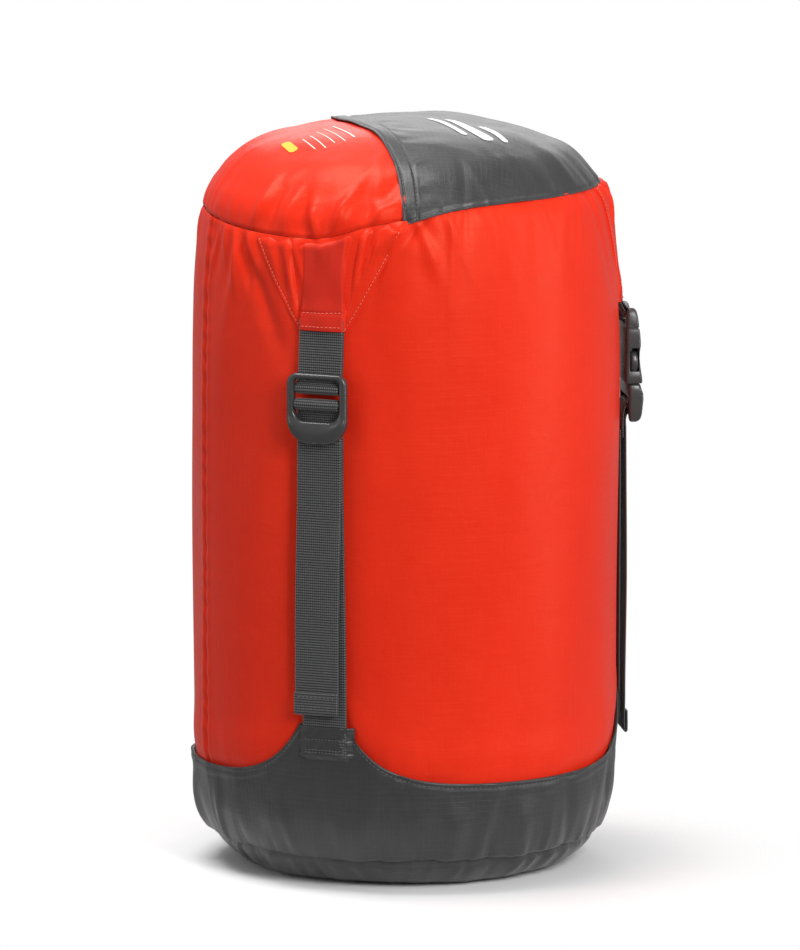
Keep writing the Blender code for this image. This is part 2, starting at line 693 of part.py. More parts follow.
def build_prong(name, side):
    """A sprung arm of the plug; its head sits in the socket's side window at rest."""
    root_y, root_z = PRONG_ROOT
    outline = [
        (0.0080, root_z - 0.0016), (0.0122, root_z - 0.0016), (0.0122, 0.2600), (0.0128, 0.2626),
        (0.0154, 0.2632), (0.0162, 0.2646), (0.0160, 0.2680), (0.0146, 0.2716), (0.0120, 0.2748),
        (0.0100, PRONG_TOP), (0.0082, PRONG_TOP - 0.0008), (0.0080, 0.2720),
    ]
    outline = [(side * y, z) for y, z in outline]
    pivot = ((PRONG_BACK + PRONG_FRONT) / 2, side * root_y, root_z)
    prong = add_part(name, outline_mesh([outline], PRONG_BACK, PRONG_FRONT, "X"), "plastic", pivot=pivot)
    add_bevel(prong, 0.0004, 1)
    smooth(prong)


clear_scene()
parts = new_collection("compression_sack")
cutters = new_collection("cutters")
build_base()
build_wall_and_contents()
build_lid()
build_mouth()
for strap in STRAP_ANGLES:
    build_gusset(strap)
    build_upper_strap(strap)
    build_anchor(strap)
for strap in LADDER_STRAPS:
    build_load_strap(strap, BAR_2[1] - 0.0068)
    build_ladder_lock(strap)
    build_strap_wrap(strap, BAR_2, LOCK_LOW, (BAR_1[0], 0.0, BAR_1[1]), 0.2470)
    build_tail(strap, LOCK_LOW - GAP / 2)
build_load_strap("release", 0.2320)
build_socket()
build_plug()
build_prong("plug_prong_left", 1)
build_prong("plug_prong_right", -1)
build_strap_wrap("release", PLUG_BAR, PLUG_LOW, (PLUG_BAR[0], 0.0, PLUG_HIGH), 0.2275)
build_tail("release", PLUG_LOW - GAP / 2)
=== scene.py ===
import math

import bpy
import numpy as np
from mathutils import Matrix, Vector


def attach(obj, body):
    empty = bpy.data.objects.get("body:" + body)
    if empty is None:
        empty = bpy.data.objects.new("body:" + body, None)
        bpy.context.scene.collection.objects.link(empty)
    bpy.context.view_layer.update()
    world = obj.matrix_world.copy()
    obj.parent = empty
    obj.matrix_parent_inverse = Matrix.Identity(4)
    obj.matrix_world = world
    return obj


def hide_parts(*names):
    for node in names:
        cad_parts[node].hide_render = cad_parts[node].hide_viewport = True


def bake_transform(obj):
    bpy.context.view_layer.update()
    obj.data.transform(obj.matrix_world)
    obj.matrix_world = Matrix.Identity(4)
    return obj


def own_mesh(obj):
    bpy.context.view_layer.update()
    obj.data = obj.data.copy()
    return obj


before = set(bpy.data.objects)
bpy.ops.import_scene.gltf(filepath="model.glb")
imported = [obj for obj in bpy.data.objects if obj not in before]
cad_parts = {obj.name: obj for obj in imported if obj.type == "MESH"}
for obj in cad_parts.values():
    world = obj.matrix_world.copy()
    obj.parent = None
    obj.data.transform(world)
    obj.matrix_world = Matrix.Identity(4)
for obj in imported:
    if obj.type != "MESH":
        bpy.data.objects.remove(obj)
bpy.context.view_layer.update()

bpy.context.scene.view_settings.view_transform = "Standard"

# The sack's outline from the middle of the base to the top of the lid, as radius and height in metres
sack = {
    "outline": [
        (0.0, 0.0004), (0.040, 0.0003), (0.076, 0.0003), (0.0840, 0.0013), (0.0905, 0.0040),
        (0.0960, 0.0083), (0.1022, 0.0152), (0.1066, 0.0230), (0.1101, 0.0340), (0.1122, 0.0500),
        (0.1133, 0.0700), (0.1137, 0.0950), (0.1140, 0.150), (0.1141, 0.240), (0.1137, 0.290),
        (0.1125, 0.320), (0.1105, 0.342), (0.1091, 0.3520), (0.1073, 0.3604), (0.1047, 0.3658),
        (0.1003, 0.3715), (0.0944, 0.3784), (0.0858, 0.3852), (0.0768, 0.3897), (0.0640, 0.3944),
        (0.0500, 0.3972), (0.0300, 0.3991), (0.0, 0.3997),
    ],
    "baseSeamHeight": 0.0152,
    "rimSeamHeight": 0.3604,
    "sideSeamAngle": math.radians(-166.5),
    "strapAngles": {"front": math.radians(-120), "rear": math.radians(120), "release": 0.0},
    "radius": 0.114,
}


def smoothCurve(points, samples):
    points = np.array(points, float)
    chord = np.concatenate([[0], np.cumsum(np.linalg.norm(np.diff(points, axis=0), axis=1))])
    slope = np.gradient(points, chord, axis=0)
    place = np.linspace(0, chord[-1], samples)
    index = np.clip(np.searchsorted(chord, place, side="right") - 1, 0, len(chord) - 2)
    span = (chord[index + 1] - chord[index])[:, None]
    u = (place[:, None] - chord[index][:, None]) / span
    start = (2 * u**3 - 3 * u**2 + 1) * points[index] + (u**3 - 2 * u**2 + u) * span * slope[index]
    end = (3 * u**2 - 2 * u**3) * points[index + 1] + (u**3 - u**2) * span * slope[index + 1]
    return start + end


def blurred(values, width):
    kernel = np.hanning(width + 2)[1:-1]
    padded = np.pad(values, width // 2, mode="edge")
    return np.convolve(padded, kernel / kernel.sum(), mode="valid")[: len(values)]


outline = smoothCurve(sack["outline"], 3001)
outlineLength = np.concatenate([[0], np.cumsum(np.linalg.norm(np.diff(outline, axis=0), axis=1))])
tangent = np.gradient(outline, outlineLength, axis=0)
outlineNormal = np.stack([blurred(tangent[:, 1], 61), blurred(-tangent[:, 0], 61)], axis=1)
outlineNormal /= np.linalg.norm(outlineNormal, axis=1)[:, None]


def reachAt(height):
    # how far along the outline its rising side passes a height
    rising = np.argmax(outline[:, 1] > height)
    return outlineLength[rising]


baseSeam = reachAt(sack["baseSeamHeight"])
rimSeam = reachAt(sack["rimSeamHeight"])
lidTop = outlineLength[-1]


def onSack(angle, reach, lift=0.0):
    # a point on the sack from its angle, its distance along the outline and its lift off the cloth's plane
    angle, reach, lift = np.broadcast_arrays(angle, reach, lift)
    outward, upward = (np.interp(reach, outlineLength, outlineNormal[:, axis]) for axis in range(2))
    radius = np.interp(reach, outlineLength, outline[:, 0]) + lift * outward
    height = np.interp(reach, outlineLength, outline[:, 1]) + lift * upward
    return np.stack([radius * np.cos(angle), radius * np.sin(angle), height], axis=-1)


def radiusAt(reach):
    return np.interp(reach, outlineLength, outline[:, 0])


def ramp(value, low, high):
    share = np.clip((value - low) / (high - low), 0, 1)
    return share * share * (3 - 2 * share)


def angleGap(angle, other):
    return (angle - other + math.pi) % (2 * math.pi) - math.pi


def nearestStrap(angle):
    gaps = [angleGap(angle, strap) for strap in sack["strapAngles"].values()]
    return np.min(np.abs(gaps), axis=0)


def waves(angle, reach, seed, count, turns, steepness):
    # smooth uneven waves that close up round the sack
    draw = np.random.default_rng(seed)
    total = np.zeros(np.broadcast(angle, reach).shape)
    for _ in range(count):
        around = draw.integers(-turns, turns + 1)
        along = draw.normal(0, steepness)
        total = total + np.cos(around * angle + along * reach + draw.uniform(0, 2 * math.pi))
    return total / math.sqrt(count / 2)


def seamFolds(across, away, seed, count, span, height, width, length, lean=0.5):
    # gathers that start at a seam and die out away from it: across runs along the seam, away leads off it
    draw = np.random.default_rng(seed)
    total = np.zeros(np.broadcast(across, away).shape)
    for index in range(count):
        middle = span[0] + (span[1] - span[0]) * (index + draw.uniform(0.1, 0.9)) / count
        breadth = draw.uniform(*width)
        reachOut = draw.uniform(*length)
        tilt = draw.uniform(-lean, lean)
        rise = draw.uniform(*height) * draw.choice([1, 1, -1])
        slant = middle + tilt * away
        spread = breadth * (1 + 0.5 * away / reachOut)
        body = np.exp(-(((across - slant) / spread) ** 2))
        fade = (away / reachOut + 0.12) * np.exp(1 - np.maximum(away, 0) / reachOut * 1.6)
        total += rise * body * np.where(away > 0, fade, 0.12 * math.e)
    return total


def crease(across, along, start, end, height, width):
    # one soft ridge or dent between two points, thin at its ends
    startPoint, endPoint = np.array(start), np.array(end)
    line = endPoint - startPoint
    share = ((across - start[0]) * line[0] + (along - start[1]) * line[1]) / (line @ line)
    inside = np.clip(share, 0, 1)
    gap = np.hypot(across - start[0] - inside * line[0], along - start[1] - inside * line[1])
    swell = np.sin(math.pi * np.clip(0.08 + 0.84 * inside, 0, 1))
    return height * swell * np.exp(-((gap / width) ** 2))


def makePiece(name, vertices, faces, material, weave=None):
    mesh = bpy.data.meshes.new(name)
    faces = faces if isinstance(faces, list) else faces.tolist()
    mesh.from_pydata(np.asarray(vertices, float).reshape(-1, 3).tolist(), [], faces)
    mesh.shade_smooth()
    if weave is not None:
        attribute = mesh.attributes.new("weave", "FLOAT_VECTOR", "POINT")
        attribute.data.foreach_set("vector", np.asarray(weave, np.float32).reshape(-1))
    piece = bpy.data.objects.new(name, mesh)
    bpy.context.scene.collection.objects.link(piece)
    mesh.materials.append(material)
    return piece


def gridFaces(rows, columns, closed=False):
    index = np.arange(rows * columns).reshape(rows, columns)
    if closed:
        index = np.concatenate([index, index[:, :1]], axis=1)
    low, high = index[:-1], index[1:]
    return np.stack([low[:, :-1], low[:, 1:], high[:, 1:], high[:, :-1]], axis=-1).reshape(-1, 4)


def clothPiece(name, points, material, weave, closed=False, turnOver=False):
    # a sheet through a grid of points, rows first, and its woven directions in metres
    faces = gridFaces(points.shape[0], points.shape[1], closed)
    if turnOver:
        faces = faces[:, ::-1]
    flat = np.zeros(points.shape)
    flat[..., 0], flat[..., 1] = weave
    return makePiece(name, points, faces, material, flat)


print("outline ready, metres along it to the lid's seam:", round(rimSeam, 4))


# Shader maths: a Wire is a socket that can stand in a sum
class Wire:
    def __init__(self, graph, socket):
        self.graph = graph
        self.socket = socket

    def combine(self, operation, first, second):
        return self.graph.add("ShaderNodeMath", {"operation": operation}, [first, second])

    def __add__(self, other):
        return self.combine("ADD", self, other)

    def __sub__(self, other):
        return self.combine("SUBTRACT", self, other)

    def __rsub__(self, other):
        return self.combine("SUBTRACT", other, self)

    def __mul__(self, other):
        return self.combine("MULTIPLY", self, other)

    def __truediv__(self, other):
        return self.combine("DIVIDE", self, other)

    def __pow__(self, other):
        return self.combine("POWER", self, other)

    __radd__ = __add__
    __rmul__ = __mul__


class Graph:
    def __init__(self, material):
        material.use_nodes = True
        self.tree = material.node_tree
        self.shader = self.tree.nodes["Principled BSDF"]

    def plug(self, target, value):
        if isinstance(value, Wire):
            self.tree.links.new(value.socket, target)
        else:
            target.default_value = value

    def add(self, kind, settings, sockets, output=0):
        node = self.tree.nodes.new(kind)
        for name, value in settings.items():
            if name == "stops":
                while len(node.color_ramp.elements) < len(value):
                    node.color_ramp.elements.new(0.5)
                for element, (place, color) in zip(node.color_ramp.elements, value):
                    element.position = place
                    element.color = color
            else:
                setattr(node, name, value)
        pairs = sockets.items() if isinstance(sockets, dict) else enumerate(sockets)
        for name, value in pairs:
            self.plug(node.inputs[name], value)
        return Wire(self, node.outputs[output])

    def clamp(self, value):
        return self.add("ShaderNodeClamp", {}, {"Value": value})

    def step(self, value, low, high):
        sockets = {"Value": value, "From Min": low, "From Max": high}
        return self.add("ShaderNodeMapRange", {"interpolation_type": "SMOOTHSTEP"}, sockets)

    def mix(self, share, first, second):
        # colours are mixed here, and the Mix node's colour sockets are its seventh and eighth
        settings = {"data_type": "RGBA", "clamp_factor": True}
        return self.add("ShaderNodeMix", settings, {0: share, 6: first, 7: second}, output=2)

    def parts(self, vector):
        split = self.tree.nodes.new("ShaderNodeSeparateXYZ")
        self.plug(split.inputs[0], vector)
        return [Wire(self, socket) for socket in split.outputs]

    def vector(self, x, y, z):
        return self.add("ShaderNodeCombineXYZ", {}, [x, y, z])

    def noise(self, vector, scale, detail=2.0, roughness=0.5, distortion=0.0):
        sockets = {"Vector": vector, "Scale": scale, "Detail": detail, "Roughness": roughness}
        sockets["Distortion"] = distortion
        return self.add("ShaderNodeTexNoise", {}, sockets)

    def wave(self, value, pitch):
        # 0 to 1 and back, once every pitch
        turns = value * (2 * math.pi / pitch)
        return self.add("ShaderNodeMath", {"operation": "SINE"}, [turns]) * 0.5 + 0.5

    def lines(self, value, pitch, width):
        # 1 on thin lines that stand a pitch apart
        share = self.add("ShaderNodeMath", {"operation": "PINGPONG"}, [value, pitch / 2])
        return 1 - self.step(share, width * 0.5, width)

    def bump(self, height, distance, strength=1.0, normal=None):
        sockets = {"Strength": strength, "Distance": distance, "Height": height}
        if normal is not None:
            sockets["Normal"] = normal
        return self.add("ShaderNodeBump", {}, sockets)

    def weave(self):
        return self.add("ShaderNodeAttribute", {"attribute_name": "weave"}, {}, output=1)

    def place(self):
        return self.add("ShaderNodeTexCoord", {}, {}, output=3)


def newMaterial(name, fixed):
    material = bpy.data.materials.new(name)
    graph = Graph(material)
    for socket, value in fixed.items():
        graph.shader.inputs[socket].default_value = value
    return material, graph


def finish(graph, outputs):
    for socket, value in outputs.items():
        graph.plug(graph.shader.inputs[socket], value)


def clothMaterial(name, look):
    material, graph = newMaterial(name, look["fixed"])
    u, v, pressed = graph.parts(graph.weave())
    place = graph.place()
    broad = graph.noise(place, look["cloudScale"], 3.0, 0.55)
    blotch = graph.noise(place, look["blotchScale"], 4.0, 0.6)
    threads = graph.wave(u, look["threadPitch"]) * graph.wave(v, look["threadPitch"])
    slub = graph.noise(graph.vector(u * 60, v * 900, 0.0), 1.0, 2.0, 0.6)
    slubDown = graph.noise(graph.vector(u * 900, v * 60, 0.0), 1.0, 2.0, 0.6)
    pitch, width = look["gridPitch"], look["gridWidth"]
    grid = graph.clamp(graph.lines(u, pitch, width) + graph.lines(v, pitch, width))
    tone = graph.clamp((broad - 0.5) * look["cloud"] + (blotch - 0.5) * look["blotch"] + 0.5)
    body = graph.mix(tone, look["dark"], look["light"])
    thready = graph.clamp((slub + slubDown - 1.0) * look["slub"] + 0.5)
    body = graph.mix(graph.step(thready, 0.35, 1.0) * look["slubTint"], body, look["thread"])
    body = graph.mix(grid * look["gridTint"], body, look["thread"])
    body = graph.mix(pressed * 0.75, body, look["pressed"])
    uneven = (blotch - 0.5) * 0.16 + (slub - 0.5) * 0.12 + look["roughness"]
    roughness = graph.clamp(uneven - grid * 0.04 + pressed * 0.16)
    relief = threads * 0.35 + (slub + slubDown) * 0.5 + grid * 0.9
    crinkle = graph.noise(place, look["crinkleScale"], 5.0, 0.55, 0.6)
    soft = graph.bump(crinkle, look["crinkleDepth"])
    finish(graph, {
        "Base Color": body,
        "Roughness": roughness,
        "Normal": graph.bump(relief, look["weaveDepth"], 1.0, soft),
    })
    return material


redLook = {
    "dark": (0.68, 0.019, 0.007, 1), "light": (0.84, 0.032, 0.010, 1), "thread": (0.92, 0.060, 0.026, 1),
    "pressed": (0.52, 0.022, 0.014, 1),
    "cloudScale": 9.0, "cloud": 0.9, "blotchScale": 60.0, "blotch": 0.30,
    "threadPitch": 0.00055, "gridPitch": 0.0042, "gridWidth": 0.00022, "gridTint": 0.02,
    "slub": 1.6, "slubTint": 0.08, "roughness": 0.40,
    "crinkleScale": 48.0, "crinkleDepth": 0.00040, "weaveDepth": 0.000025,
    "fixed": {
        "Sheen Weight": 0.02, "Sheen Roughness": 0.35, "Sheen Tint": (1.0, 0.45, 0.32, 1),
        "Specular IOR Level": 0.22, "Specular Tint": (1.0, 0.60, 0.36, 1),
    },
}
greyLook = {
    "dark": (0.021, 0.021, 0.0215, 1), "light": (0.036, 0.036, 0.0365, 1),
    "thread": (0.075, 0.075, 0.076, 1),
    "pressed": (0.020, 0.020, 0.020, 1),
    "cloudScale": 12.0, "cloud": 0.8, "blotchScale": 80.0, "blotch": 0.5,
    "threadPitch": 0.0006, "gridPitch": 0.0030, "gridWidth": 0.00022, "gridTint": 0.045,
    "slub": 1.8, "slubTint": 0.10, "roughness": 0.42,
    "crinkleScale": 60.0, "crinkleDepth": 0.00045, "weaveDepth": 0.00004,
    "fixed": {
        "Sheen Weight": 0.12, "Sheen Roughness": 0.4, "Sheen Tint": (0.9, 0.9, 0.9, 1),
        "Specular IOR Level": 0.5
    },
}
redCloth = clothMaterial("red_ripstop", redLook)
greyCloth = clothMaterial("grey_ripstop", greyLook)


def webbingMaterial(name, look):
    material, graph = newMaterial(name, look["fixed"])
    u, v, depth = graph.parts(graph.weave())
    place = graph.place()
    # the webbing is painted nearly black in the grooves between its ribs and darker between its picks:
    # painted shade; the rib crests keep the webbing's grey
    ribTop = graph.step(depth, 0.40, 0.98)
    picks = graph.wave(u, look["pickPitch"])
    wander = graph.noise(graph.vector(u * 500, v * 1400, 0.0), 1.0, 3.0, 0.7)
    dust = graph.noise(place, 70.0, 4.0, 0.6)
    share = graph.clamp(ribTop * (picks * 0.85 + 0.15) * (wander * 1.0 + 0.45))
    body = graph.mix(share, look["dark"], look["light"])
    body = graph.mix(graph.step(dust, 0.5, 0.8) * 0.25, body, look["dusty"])
    relief = picks * ribTop * 0.6 + wander * 0.5
    finish(graph, {
        "Base Color": body,
        "Roughness": graph.clamp((wander - 0.5) * 0.2 + look["roughness"]),
        "Normal": graph.bump(relief, look["depth"]),
    })
    return material


webbingCloth = webbingMaterial("woven_webbing", {
    # the dark colour here is the painted shade in the webbing's grooves
    "dark": (0.008, 0.008, 0.0085, 1), "light": (0.150, 0.152, 0.151, 1), "dusty": (0.085, 0.085, 0.085, 1),
    "pickPitch": 0.00115, "roughness": 0.62, "depth": 0.00012,
    "fixed": {"Sheen Weight": 0.2, "Sheen Roughness": 0.5, "Specular IOR Level": 0.4},
})


def plasticMaterial(name, look):
    material, graph = newMaterial(name, look["fixed"])
    place = graph.place()
    grain = graph.noise(place, 2600.0, 2.0, 0.6)
    smudge = graph.noise(place, 130.0, 4.0, 0.6)
    flow = graph.noise(place, 30.0, 2.0, 0.5)
    # convex edges, found by pointiness, are painted a paler grey in patches: a painted edge highlight, with
    # the plastic a little rougher there
    edge = graph.add("ShaderNodeNewGeometry", {}, {}, output=7)
    edgeHighlight = graph.step(edge, 0.52, 0.60) * graph.step(smudge, 0.35, 0.7)
    body = graph.mix(graph.clamp((flow - 0.5) * 1.2 + 0.5), look["dark"], look["light"])
    body = graph.mix(edgeHighlight * 0.5, body, look["edgeHighlight"])
    finish(graph, {
        "Base Color": body,
        "Roughness": graph.clamp((smudge - 0.5) * 0.22 + look["roughness"] + edgeHighlight * 0.1),
        "Normal": graph.bump(grain, look["grain"]),
    })
    return material


bucklePlastic = plasticMaterial("buckle_plastic", {
    # the lightest grey here is the painted highlight on the buckles' edges
    "dark": (0.032, 0.032, 0.0325, 1), "light": (0.046, 0.046, 0.0465, 1), "edgeHighlight": (0.11, 0.11, 0.11, 1),
    "roughness": 0.29, "grain": 0.00003, "fixed": {"Specular IOR Level": 0.62},
})


def threadMaterial(name, color, bright):
    material, graph = newMaterial(name, {"Sheen Weight": 0.2})
    place = graph.place()
    twist = graph.noise(place, 900.0, 3.0, 0.6)
    finish(graph, {
        "Base Color": graph.mix(twist, color, bright),
        "Roughness": graph.clamp(twist * 0.3 + 0.45),
        "Normal": graph.bump(twist, 0.0001),
    })
    return material


redThread = threadMaterial("red_thread", (0.62, 0.05, 0.03, 1), (1.0, 0.26, 0.15, 1))
greyThread = threadMaterial("grey_thread", (0.05, 0.05, 0.052, 1), (0.17, 0.17, 0.175, 1))
print("materials ready")


wholeGirth = (-0.359, 0.359)  # metres either way from the release strap, for strewing folds


# Red wall: one turn of cloth with a seam up its side, from under the skirt to the lid's seam
wall = {
    "columns": 640, "rows": 210, "lowHeight": 0.046, "softness": 0.0005, "rimPucker": 0.0017,
    "seamDepth": 0.0011, "settleDepth": 0.0004, "flat": (0.720, 0.322),
}
seamDip = {
    "depth": 0.0116, "middle": math.radians(125), "towardRelease": math.radians(17),
    "away": math.radians(64),
}
skirt = {
    "columns": 640, "rows": 90, "low": 0.0585, "peak": 0.0905, "flatAngle": math.radians(6.6),
    "fallAngle": math.radians(9.0), "stand": 0.0008, "hemWidth": 0.0065, "hemRise": 0.0004,
    "flat": (0.722, 0.090), "area": 0.0410,
}
flapEdge = {"x": -0.0150, "bow": 0.0320, "rimY": 0.1061, "rimAngle": math.radians(98.05)}
seamRise = {"height": 0.0098, "width": math.radians(14)}


def rimReach(angle):
    # the lid's seam dips where the two ladder straps pull it down, and stands higher all round the flap
    side = np.abs(angleGap(angle, 0.0))
    width = np.where(side < seamDip["middle"], seamDip["towardRelease"], seamDip["away"])
    dip = seamDip["depth"] * np.exp(-(((side - seamDip["middle"]) / width) ** 2))
    within = np.maximum(flapEdge["rimAngle"] - side, 0) / seamRise["width"]
    return rimSeam - dip + seamRise["height"] * (1 - np.exp(-(within**1.3)))


def skirtHeight(angle):
    beyond = np.maximum(nearestStrap(angle) - skirt["flatAngle"], 0)
    return skirt["low"] + (skirt["peak"] - skirt["low"]) * np.exp(-beyond / skirt["fallAngle"])


risingStart = np.argmax(outline[:, 1] > 0.02)
risingEnd = np.argmax(outline[:, 1])


def reachOfHeight(height):
    return np.interp(height, outline[risingStart:risingEnd, 1], outlineLength[risingStart:risingEnd])


def wallLift(angle, reach):
    around = angle * sack["radius"]
    below = rimReach(angle) - reach
    lift = wall["softness"] * waves(angle, reach, 11, 14, 5, 14)
    lift += 0.00030 * waves(angle, reach, 12, 16, 16, 34) * ramp(below, 0.0, 0.05)
    closeness = 1 - ramp(nearestStrap(angle), math.radians(14), math.radians(52))
    rise = (0.0003, wall["rimPucker"])
    gathers = seamFolds(around, below, 21, 96, wholeGirth, rise, (0.0016, 0.0042), (0.008, 0.034))
    lift += gathers * (0.5 + 0.9 * closeness)
    lift -= 0.0006 * np.exp(-((below / 0.0012) ** 2))
    for side in (-1, 1):
        strap = side * math.radians(120) * sack["radius"]
        offset = (around - strap) * side
        for start, end, height, width in wallCreases:
            lift += crease(offset, below, start, end, height, width)
    seamGap = np.abs(angleGap(angle, sack["sideSeamAngle"])) * sack["radius"]
    lift -= wall["seamDepth"] * np.exp(-((seamGap / 0.0013) ** 2))
    lift += 0.0005 * np.exp(-(((seamGap - 0.0042) / 0.0024) ** 2))
    lift += 0.0003 * np.exp(-((seamGap / 0.006) ** 2)) * np.cos(reach * 520 + 1.5 * np.cos(reach * 95))
    aboveSkirt = reach - reachOfHeight(skirtHeight(angle))
    lift -= wall["settleDepth"] * (1 - ramp(aboveSkirt, 0.0005, 0.007))
    lift -= 0.0036 * ramp(-aboveSkirt, 0.0015, 0.010)
    lift += 0.0006 * np.exp(-(((aboveSkirt - 0.013) / 0.009) ** 2))
    lift += seamFolds(
        around, aboveSkirt, 22, 60, wholeGirth, (0.0001, 0.0005), (0.0015, 0.0035), (0.006, 0.016)
    )
    gap = nearestStrap(angle) * sack["radius"]
    strapPress = 1 - ramp(gap, 0.0115, 0.024)
    low = ramp(reach, reachOfHeight(0.07), reachOfHeight(0.11))
    lift -= 0.0006 * strapPress * low * ramp(below, 0.055, 0.09)
    lift += 0.0005 * np.exp(-(((gap - 0.023) / 0.008) ** 2)) * low * ramp(below, 0.055, 0.09)
    return lift


# creases beside a gusset: start and end (metres off the strap's middle, below the seam), rise, width
wallCreases = [
    ((-0.0455, 0.000), (-0.0330, 0.017), 0.0028, 0.0042),
    ((-0.0560, 0.001), (-0.0420, 0.013), -0.0018, 0.0036),
    ((-0.0500, 0.012), (-0.0620, 0.030), 0.0009, 0.0050),
    ((0.0520, 0.000), (0.0420, 0.024), 0.0023, 0.0030),
    ((0.0575, 0.001), (0.0490, 0.030), -0.0019, 0.0026),
    ((0.0640, 0.000), (0.0585, 0.036), 0.0019, 0.0034),
    ((0.0500, 0.010), (0.0330, 0.045), -0.0018, 0.0038),
    ((0.0740, 0.000), (0.0700, 0.022), 0.0014, 0.0030),
    ((0.0820, 0.000), (0.0800, 0.028), -0.0010, 0.0030),
    ((0.0400, 0.034), (0.0230, 0.064), -0.0012, 0.0060),
    ((-0.0380, 0.030), (-0.0210, 0.060), -0.0010, 0.0060),
    ((0.0270, 0.075), (0.0420, 0.150), 0.0009, 0.0090),
    ((-0.0240, 0.070), (-0.0300, 0.160), 0.0009, 0.0090),
]


def roundTheSack(columns):
    return sack["sideSeamAngle"] + np.linspace(0, 2 * math.pi, columns, endpoint=False)[None, :]


def makeWall():
    angle = roundTheSack(wall["columns"])
    lowReach = reachOfHeight(wall["lowHeight"])
    share = np.linspace(0, 1, wall["rows"])[:, None]
    reach = lowReach + (rimReach(angle) - 0.0002 - lowReach) * share
    points = onSack(angle, reach, wallLift(angle, reach))
    turned = angle - sack["sideSeamAngle"]
    piece = clothPiece("wallCloth", points, redCloth, (turned * sack["radius"], reach), closed=True)
    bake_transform(piece)
    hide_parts("body_wall")
    return piece


def skirtLift(angle, reach, fromEdge):
    around = angle * sack["radius"]
    above = reach - baseSeam
    lift = skirt["stand"] + 0.00055 * waves(angle, reach, 31, 14, 7, 26)
    lift = lift + 0.00022 * waves(angle, reach, 35, 14, 30, 120)
    lift += seamFolds(
        around, above, 32, 64, wholeGirth, (0.0005, 0.0024), (0.0022, 0.0058), (0.012, 0.042), 0.35
    )
    lift += seamFolds(
        around, above, 33, 90, wholeGirth, (0.0002, 0.0007), (0.0012, 0.0024), (0.004, 0.012), 0.3
    )
    lift -= 0.0019 * np.exp(-((above / 0.0019) ** 2))
    puckers = seamFolds(
        around, fromEdge, 34, 70, wholeGirth, (0.0001, 0.0004), (0.0015, 0.0034), (0.005, 0.016)
    )
    lift += puckers * ramp(fromEdge, 0, 0.004)
    hem = 1 - ramp(fromEdge, skirt["hemWidth"] - 0.0008, skirt["hemWidth"] + 0.0006)
    lift += skirt["hemRise"] * hem
    lift -= 0.00035 * np.exp(-(((fromEdge - 0.0022) / 0.0006) ** 2))
    lift -= 0.00025 * np.exp(-(((fromEdge - skirt["hemWidth"] + 0.0006) / 0.0006) ** 2))
    return lift


def makeSkirt():
    angle = roundTheSack(skirt["columns"])
    topReach = reachOfHeight(skirtHeight(angle))
    share = np.linspace(0, 1, skirt["rows"])[:, None] ** 0.86
    reach = topReach + (baseSeam + 0.0001 - topReach) * share
    fromEdge = topReach - reach
    lift = skirtLift(angle, reach, fromEdge)
    points = onSack(angle, reach, lift)
    turnIn = []
    for drop, rise in ((0.0030, -0.0010), (0.0012, -0.0006), (0.0001, 0.0002), (-0.0003, 0.0006)):
        turnIn.append(onSack(angle, topReach - drop, np.full(angle.shape, rise) + skirt["hemRise"])[0])
    points = np.concatenate([np.array(turnIn), points])
    points[..., 2] = np.maximum(points[..., 2], 0.0002)
    turned = np.broadcast_to(angle - sack["sideSeamAngle"], points.shape[:2])
    down = np.concatenate([np.repeat(topReach, len(turnIn), axis=0), reach])
    piece = clothPiece(
        "skirtCloth", points, greyCloth, (turned * sack["radius"], down), closed=True, turnOver=True
    )
    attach(piece, "base")
    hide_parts("base_skirt")
    return piece


basePanel = {"columns": 480, "rows": 46, "flat": (0.212, 0.212), "area": 0.0352, "middle": 0.0012}


def makeBasePanel():
    angle = roundTheSack(basePanel["columns"])
    share = np.linspace(0, 1, basePanel["rows"])[:, None] ** 1.25
    reach = baseSeam + (basePanel["middle"] - baseSeam) * share
    around = angle * sack["radius"]
    inward = baseSeam - reach
    lift = seamFolds(
        around, inward, 41, 84, wholeGirth, (0.0003, 0.0014), (0.0016, 0.0042), (0.004, 0.014), 0.35
    )
    lift -= 0.0020 * np.exp(-((inward / 0.0019) ** 2))
    lift += 0.0004 * waves(angle, reach, 42, 10, 8, 30) * ramp(inward, 0, 0.01)
    lift *= ramp(reach, 0.02, 0.075)
    points = onSack(angle, reach, lift)
    points[..., 2] = np.maximum(points[..., 2], 0.0002)
    rows, columns = points.shape[:2]
    flat = np.zeros((rows * columns + 1, 3))
    flat[:-1, 0] = (reach * np.cos(angle)).ravel()
    flat[:-1, 1] = (reach * np.sin(angle)).ravel()
    middle = rows * columns
    faces = gridFaces(rows, columns, True)[:, ::-1].tolist()
    last = (rows - 1) * columns
    faces += [[last + (column + 1) % columns, last + column, middle] for column in range(columns)]
    vertices = np.concatenate([points.reshape(-1, 3), [[0, 0, 0.0003]]])
    piece = makePiece("basePanel", vertices, faces, greyCloth, flat)
    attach(piece, "base")
    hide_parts("base_disc")
    return piece


# Lid: it is laid out flat round the top, so a point is (x, y) along the cloth from the top's middle
lid = {
    "redColumns": 420, "redRows": 150, "redFlat": (0.100, 0.236), "redArea": 0.0205,
    "flapColumns": 420, "flapRows": 180, "flapFlat": (0.155, 0.240), "flapArea": 0.0320,
    "hemWidth": 0.0086, "flapStand": 0.0010, "overhang": 0.0024,
}
reachIndexOfLid = int(np.searchsorted(outlineLength, rimSeam))
lidRadii = outline[reachIndexOfLid:, 0][::-1]
lidReaches = outlineLength[reachIndexOfLid:][::-1]


def laidOut(planX, planY):
    radius = np.hypot(planX, planY)
    out = lidTop - np.interp(radius, lidRadii, lidReaches)
    angle = np.arctan2(planY, planX)
    return out * np.cos(angle), out * np.sin(angle)


